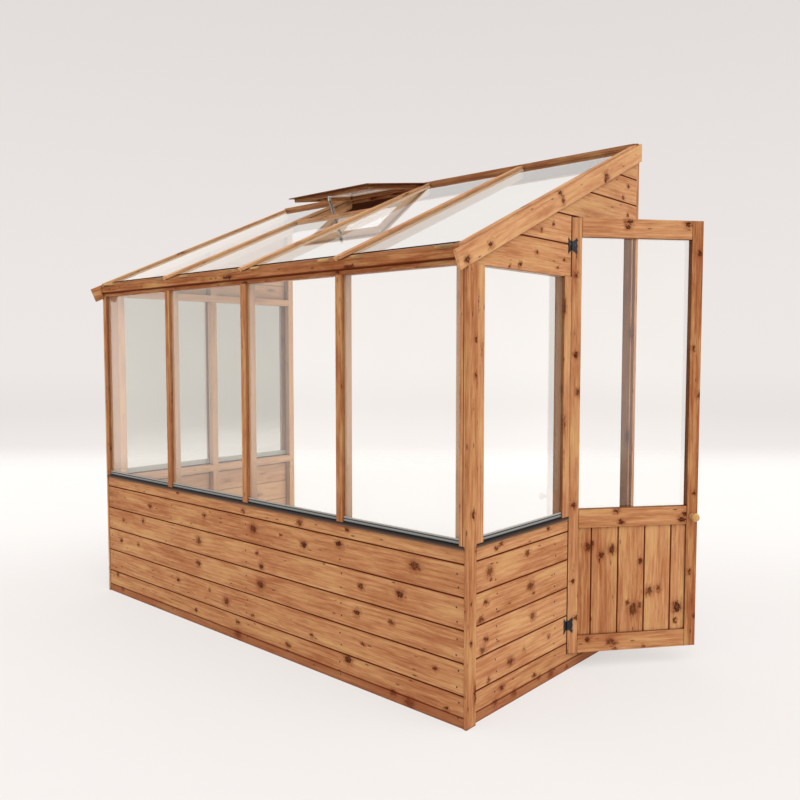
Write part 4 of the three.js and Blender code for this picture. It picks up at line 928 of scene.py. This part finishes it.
for index, (node, look) in enumerate(sorted(TIMBERS.items())):
    dress(node, timber(f"pine_{node}", seed=index * SEED_STEP + FIRST_SEED, **look))
for node in nodes:
    if "pane" in node:
        dress(node, panes[node.split("_")[0]])
    elif "drip_sill" in node:
        dress(node, left_plastic if node.startswith("left") else plastic)
    elif node.startswith("hinge_"):
        dress(node, black_metal)
    elif node == "vent_stay":
        dress(node, stay_metal)
    elif "stay" in node:
        dress(node, bright_metal)
    elif node == "door_knob":
        dress(node, knob_wood)


# Nails and screws: sizes in metres, and the shape of a head in shares of its radius and rise
NAIL_RADIUS = 0.0034
NAIL_RISE = 0.0010
SCREW_RADIUS = 0.0024
SCREW_RISE = 0.0011
HEAD_SIDES = 12
HEAD_SHARES = [(1.0, 0.0), (0.96, 0.45), (0.72, 0.85), (0.36, 1.0)]
SLOT_LENGTH_SHARE = 0.8
SLOT_WIDTH_SHARE = 0.3
SLOT_DEPTH_SHARE = 0.7

# Where they sit. Hammered nails stray from their lines, by board, column and share of the board
END_NAIL_X = 1.188
NAIL_COLUMNS = [-END_NAIL_X, -BAY_WIDTH, 0.0, BAY_WIDTH, END_NAIL_X]
RIGHT_NAIL_COLUMNS = [0.030, 0.156, 0.563]
NAIL_SHARES = [0.26, 0.72]
NAIL_STRAY = 0.006
NAIL_STRAY_TURNS = (7.3, 3.1, 11)
SCREW_SHARES = [0.16, 0.5, 0.84]
SCREW_TURN = 9
KNUCKLE_REACH = 0.010

# Stops at the lower edges of the roof panes: where each one starts and ends, and their section in y and z
GLASS_STOPS = [
    (-1.174, -1.090), (-0.668, -0.622), (-0.461, -0.400), (-0.082, -0.036), (0.075, 0.129),
    (0.505, 0.563), (0.684, 0.747), (1.098, 1.172),
]
GLASS_STOP_OUTLINE = [
    (-0.0537, 1.6610), (-0.0537, 1.6658), (-0.0525, 1.6668), (-0.0440, 1.6704),
    (-0.0440, 1.6689), (-0.0518, 1.6654), (-0.0522, 1.6648), (-0.0522, 1.6610),
]


def new_object(name, work, material, body):
    mesh = bpy.data.meshes.new(name)
    bmesh.ops.recalc_face_normals(work, faces=work.faces)
    work.to_mesh(mesh)
    work.free()
    mesh.materials.append(material)
    piece = bpy.data.objects.new(name, mesh)
    bpy.context.scene.collection.objects.link(piece)
    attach(piece, body)
    return piece


def join_rings(work, first, last):
    """Faces between two closed rings of as many points."""
    for step in range(len(first)):
        after = (step + 1) % len(first)
        work.faces.new((first[step], first[after], last[after], last[step]))


def add_head(work, centre, facing, radius, rise, slot_turn=None):
    """A low domed nail or screw head on a face. slot_turn cuts a driver slot at that angle."""
    place = Matrix.Translation(centre) @ Vector(facing).to_track_quat("Z", "Y").to_matrix().to_4x4()
    rings = []
    for reach, height in HEAD_SHARES:
        ring = []
        for step in range(HEAD_SIDES):
            angle = math.tau * step / HEAD_SIDES
            in_slot = slot_turn is not None and abs(math.sin(angle - slot_turn)) < SLOT_WIDTH_SHARE
            dip = SLOT_DEPTH_SHARE if in_slot and reach < SLOT_LENGTH_SHARE else 0.0
            across = radius * reach * math.cos(angle)
            along = radius * reach * math.sin(angle)
            ring.append(work.verts.new(place @ Vector((across, along, rise * (height - dip)))))
        rings.append(ring)
    for lower, upper in zip(rings, rings[1:]):
        join_rings(work, lower, upper)
    work.faces.new(rings[-1])
    work.faces.new(list(reversed(rings[0])))


def board_nails(name, columns, facing, spot):
    """Two nails to a board at each stud. spot gives the place for a column and a height."""
    work = bmesh.new()
    board_turn, column_turn, share_turn = NAIL_STRAY_TURNS
    board = 0
    low = 0.0
    high = BOTTOM_BOARD
    while high < SILL_TOP:
        for count, column in enumerate(columns):
            for share in NAIL_SHARES:
                angle = board_turn * board + column_turn * count + share_turn * share
                stray = NAIL_STRAY * math.sin(angle)
                place = spot(column + stray, low + share * (high - low) + stray)
                add_head(work, place, facing, NAIL_RADIUS, NAIL_RISE)
        board += 1
        low = high
        high = high + BOARD_COVER
    return new_object(name, work, nail_metal, "house")


def hinge_screws(name, node, body, turn, pin_y):
    """Three slotted screws down the middle of a hinge leaf, which turn places and whose pin is at pin_y."""
    points = [turn.inverted() @ vertex.co for vertex in nodes[node].data.vertices]
    low = min(point[2] for point in points)
    high = max(point[2] for point in points)
    flat = [point for point in points if abs(point[1] - pin_y) > KNUCKLE_REACH]
    face = max(point[0] for point in flat)
    centre = sum(point[1] for point in flat) / len(flat)
    facing = turn.to_3x3() @ Vector((1, 0, 0))
    work = bmesh.new()
    for share in SCREW_SHARES:
        spot = turn @ Vector((face, centre, low + share * (high - low)))
        add_head(work, spot, facing, SCREW_RADIUS, SCREW_RISE, slot_turn=share * SCREW_TURN)
    return new_object(name, work, screw_metal, body)


def glass_stop(index, start, end):
    """Folded strip over the lower edge of a roof pane, with its foot on the fascia."""
    work = bmesh.new()
    first, last = [[work.verts.new((x, y, z)) for y, z in GLASS_STOP_OUTLINE] for x in (start, end)]
    join_rings(work, first, last)
    work.faces.new(first)
    work.faces.new(list(reversed(last)))
    return new_object(f"glass_stop_{index}", work, stop_plastic, "house")


nail_metal = metal("nail_metal", srgb(38, 18, 10), srgb(66, 36, 22),
                   roughness=0.55, metallic=0.2, wear_share=0.1)
screw_metal = metal("screw_metal", srgb(30, 22, 20), srgb(58, 48, 42),
                    roughness=0.4, metallic=0.7, wear_share=0.4)
stop_plastic = olive_plastic()
board_nails("front_nails", NAIL_COLUMNS, (0, -1, 0), lambda along, height: (along, FRONT_FACE_Y, height))
board_nails("right_nails", RIGHT_NAIL_COLUMNS, (1, 0, 0), lambda along, height: (END_FACE_X, along, height))
door_place = Matrix.Translation((HINGE_X, HINGE_Y, 0)) @ Matrix.Rotation(-DOOR_TURN, 4, "Z")
for level in ("lower", "upper"):
    hinge_screws(f"{level}_frame_screws", f"hinge_{level}_frame_leaf", "house", Matrix(), HINGE_Y)
    hinge_screws(f"{level}_door_screws", f"hinge_{level}_door_leaf", "door", door_place, 0.0)
for index, (start, end) in enumerate(GLASS_STOPS, 1):
    glass_stop(index, start, end)

# Backdrop by the height of the direction, for the eye and for mirrored light
BACKDROP_SHADES = [
    (0.0, srgb(254, 249, 246)),
    (0.42, srgb(254, 249, 246)),
    (0.442, srgb(241, 236, 233)),
    (0.4665, srgb(232, 227, 224)),
    (0.49, srgb(237, 232, 229)),
    (0.54, srgb(236, 231, 228)),
    (0.62, srgb(231, 226, 223)),
    (0.70, srgb(225, 220, 217)),
    (1.0, srgb(218, 213, 210)),
]
MIRROR_SHADES = [
    (0.0, (1.0, 0.98, 0.95, 1)),
    (0.50, (1.0, 0.985, 0.96, 1)),
    (0.70, (0.44, 0.43, 0.42, 1)),
    (1.0, (0.38, 0.37, 0.36, 1)),
]

# Light of the sky, and what each kind of ray sees in its place, with its brightness
SKY_TINT = (1.0, 0.985, 0.97, 1)
SKY_LIGHT = 0.72
SEEN_LIGHTS = [
    ("Camera", BACKDROP_SHADES, 1.0),
    ("Glossy", MIRROR_SHADES, 2.2),
    ("Transmission", BACKDROP_SHADES, 1.03),
]

# Studio: a pale square floor that fades into the backdrop at its edges. Its paper and glow are painted
# darker on the near side and round the house, lighter far behind it, and the glow pales the shadows on it
FLOOR_CENTRE = (0.0, 0.6)
FLOOR_HALF = 7.4
FLOOR_CELLS = 8
FLOOR_FADE = 2.8
FLOOR_CLEAR_EDGE = 0.05
FLOOR_FAR_REACH = (-0.2, 2.2)
FLOOR_EVENNESS = 0.55
PAPER_NOISE = (3.0, 3.0)
NEAR_PAPER = (srgb(238, 235, 233), srgb(241, 238, 236))
FAR_PAPER = (srgb(249, 246, 244), srgb(251, 248, 246))
NEAR_GLOW = srgb(247, 242, 239)
FAR_GLOW = srgb(255, 251, 248)
PAPER_ROUGHNESS = 0.9
PAPER_SPECULAR = 0.1
PAPER_RELIEF_DEPTH = 0.0004
PAPER_RELIEF_SHARE = 0.1


def studio_paper():
    """Matt paper, lit evenly to the eye by a painted glow that pales shadows, and clear at the floor's
    edges.
    """
    s = new_shader("studio_floor")
    x, y, z = s.separate(s.place())
    reach = s.math("MAXIMUM", s.math("ABSOLUTE", x), s.math("ABSOLUTE", y))
    fade = s.smooth(reach, FLOOR_HALF - FLOOR_FADE, FLOOR_HALF - FLOOR_CLEAR_EDGE)
    far = s.smooth(y, *FLOOR_FAR_REACH)
    paper = s.noise(s.combine(x, y, z), *PAPER_NOISE)
    matt = s.principled(
        Base_Color=s.mix(far, s.mix(paper, *NEAR_PAPER), s.mix(paper, *FAR_PAPER)),
        Roughness=PAPER_ROUGHNESS,
        Specular_IOR_Level=PAPER_SPECULAR,
        Normal=s.bump(paper, PAPER_RELIEF_DEPTH, PAPER_RELIEF_SHARE),
    )
    # Painted light: a glow for the eye that pales the shadows on the floor
    glow = s.fill(s.add("ShaderNodeEmission"), [s.mix(far, NEAR_GLOW, FAR_GLOW)]).outputs[0]
    evenness = s.math("MULTIPLY_ADD", s.ray("Diffuse"), -FLOOR_EVENNESS, FLOOR_EVENNESS)
    return s.finish(s.blend(fade, s.blend(evenness, matt, glow), s.clear()))


def studio_floor():
    mesh = bpy.data.meshes.new("studio_floor")
    work = bmesh.new()
    bmesh.ops.create_grid(work, x_segments=FLOOR_CELLS, y_segments=FLOOR_CELLS, size=FLOOR_HALF)
    work.to_mesh(mesh)
    work.free()
    mesh.materials.append(studio_paper())
    floor = bpy.data.objects.new("studio_floor", mesh)
    bpy.context.scene.collection.objects.link(floor)
    floor.location = (*FLOOR_CENTRE, 0)
    floor.rotation_euler = (0, 0, CAMERA_HEADING)
    return floor


def backdrop(s, colour, strength):
    return s.fill(s.add("ShaderNodeBackground"), (colour, strength)).outputs[0]


def height_shades(s, shades):
    """Colour by the height of a direction, from straight down at 0 to straight up at 1."""
    direction = s.add("ShaderNodeTexCoord").outputs["Generated"]
    height = s.fill(s.add("ShaderNodeMapRange"), (s.separate(direction)[2], -1.0)).outputs[0]
    return s.ramp(height, shades)


def studio_world():
    """Even soft light, with a pale backdrop for the camera and for what the glass shows and mirrors."""
    s = Shader(bpy.data.worlds.new("studio"), "ShaderNodeOutputWorld")
    shown = backdrop(s, SKY_TINT, SKY_LIGHT)
    for ray, shades, strength in SEEN_LIGHTS:
        shown = s.blend(s.ray(ray), shown, backdrop(s, height_shades(s, shades), strength))
    return s.finish(shown)


def soft_light(name, heading, height, spread, strength, tint):
    """Wide soft light from far off. heading is counted from the door end, in degrees."""
    data = bpy.data.lights.new(name, "SUN")
    data.angle = math.radians(spread)
    data.energy = strength
    data.color = tint
    lamp = bpy.data.objects.new(name, data)
    level = math.cos(math.radians(height))
    toward = Vector((
        level * math.cos(math.radians(heading)),
        level * math.sin(math.radians(heading)),
        math.sin(math.radians(height)),
    ))
    lamp.rotation_euler = toward.to_track_quat("Z", "Y").to_euler()
    lamp.visible_glossy = False
    lamp.visible_transmission = False
    bpy.context.scene.collection.objects.link(lamp)


studio_floor()
bpy.context.scene.world = studio_world()
soft_light("right_light", heading=-15, height=45, spread=80, strength=1.5, tint=(1.0, 0.995, 0.985))
soft_light("front_light", heading=-125, height=45, spread=80, strength=0.38, tint=(0.98, 0.99, 1.0))

camera_data = bpy.data.cameras.new("camera")
camera_data.lens = CAMERA_LENS
camera_data.sensor_width = SENSOR_WIDTH
camera_data.clip_end = CAMERA_REACH
camera = bpy.data.objects.new("camera", camera_data)
camera.location = CAMERA_PLACE
camera.rotation_euler = (CAMERA_PITCH, 0, CAMERA_HEADING)
bpy.context.scene.collection.objects.link(camera)
bpy.context.scene.camera = camera
bpy.context.scene.view_settings.view_transform = "Standard"
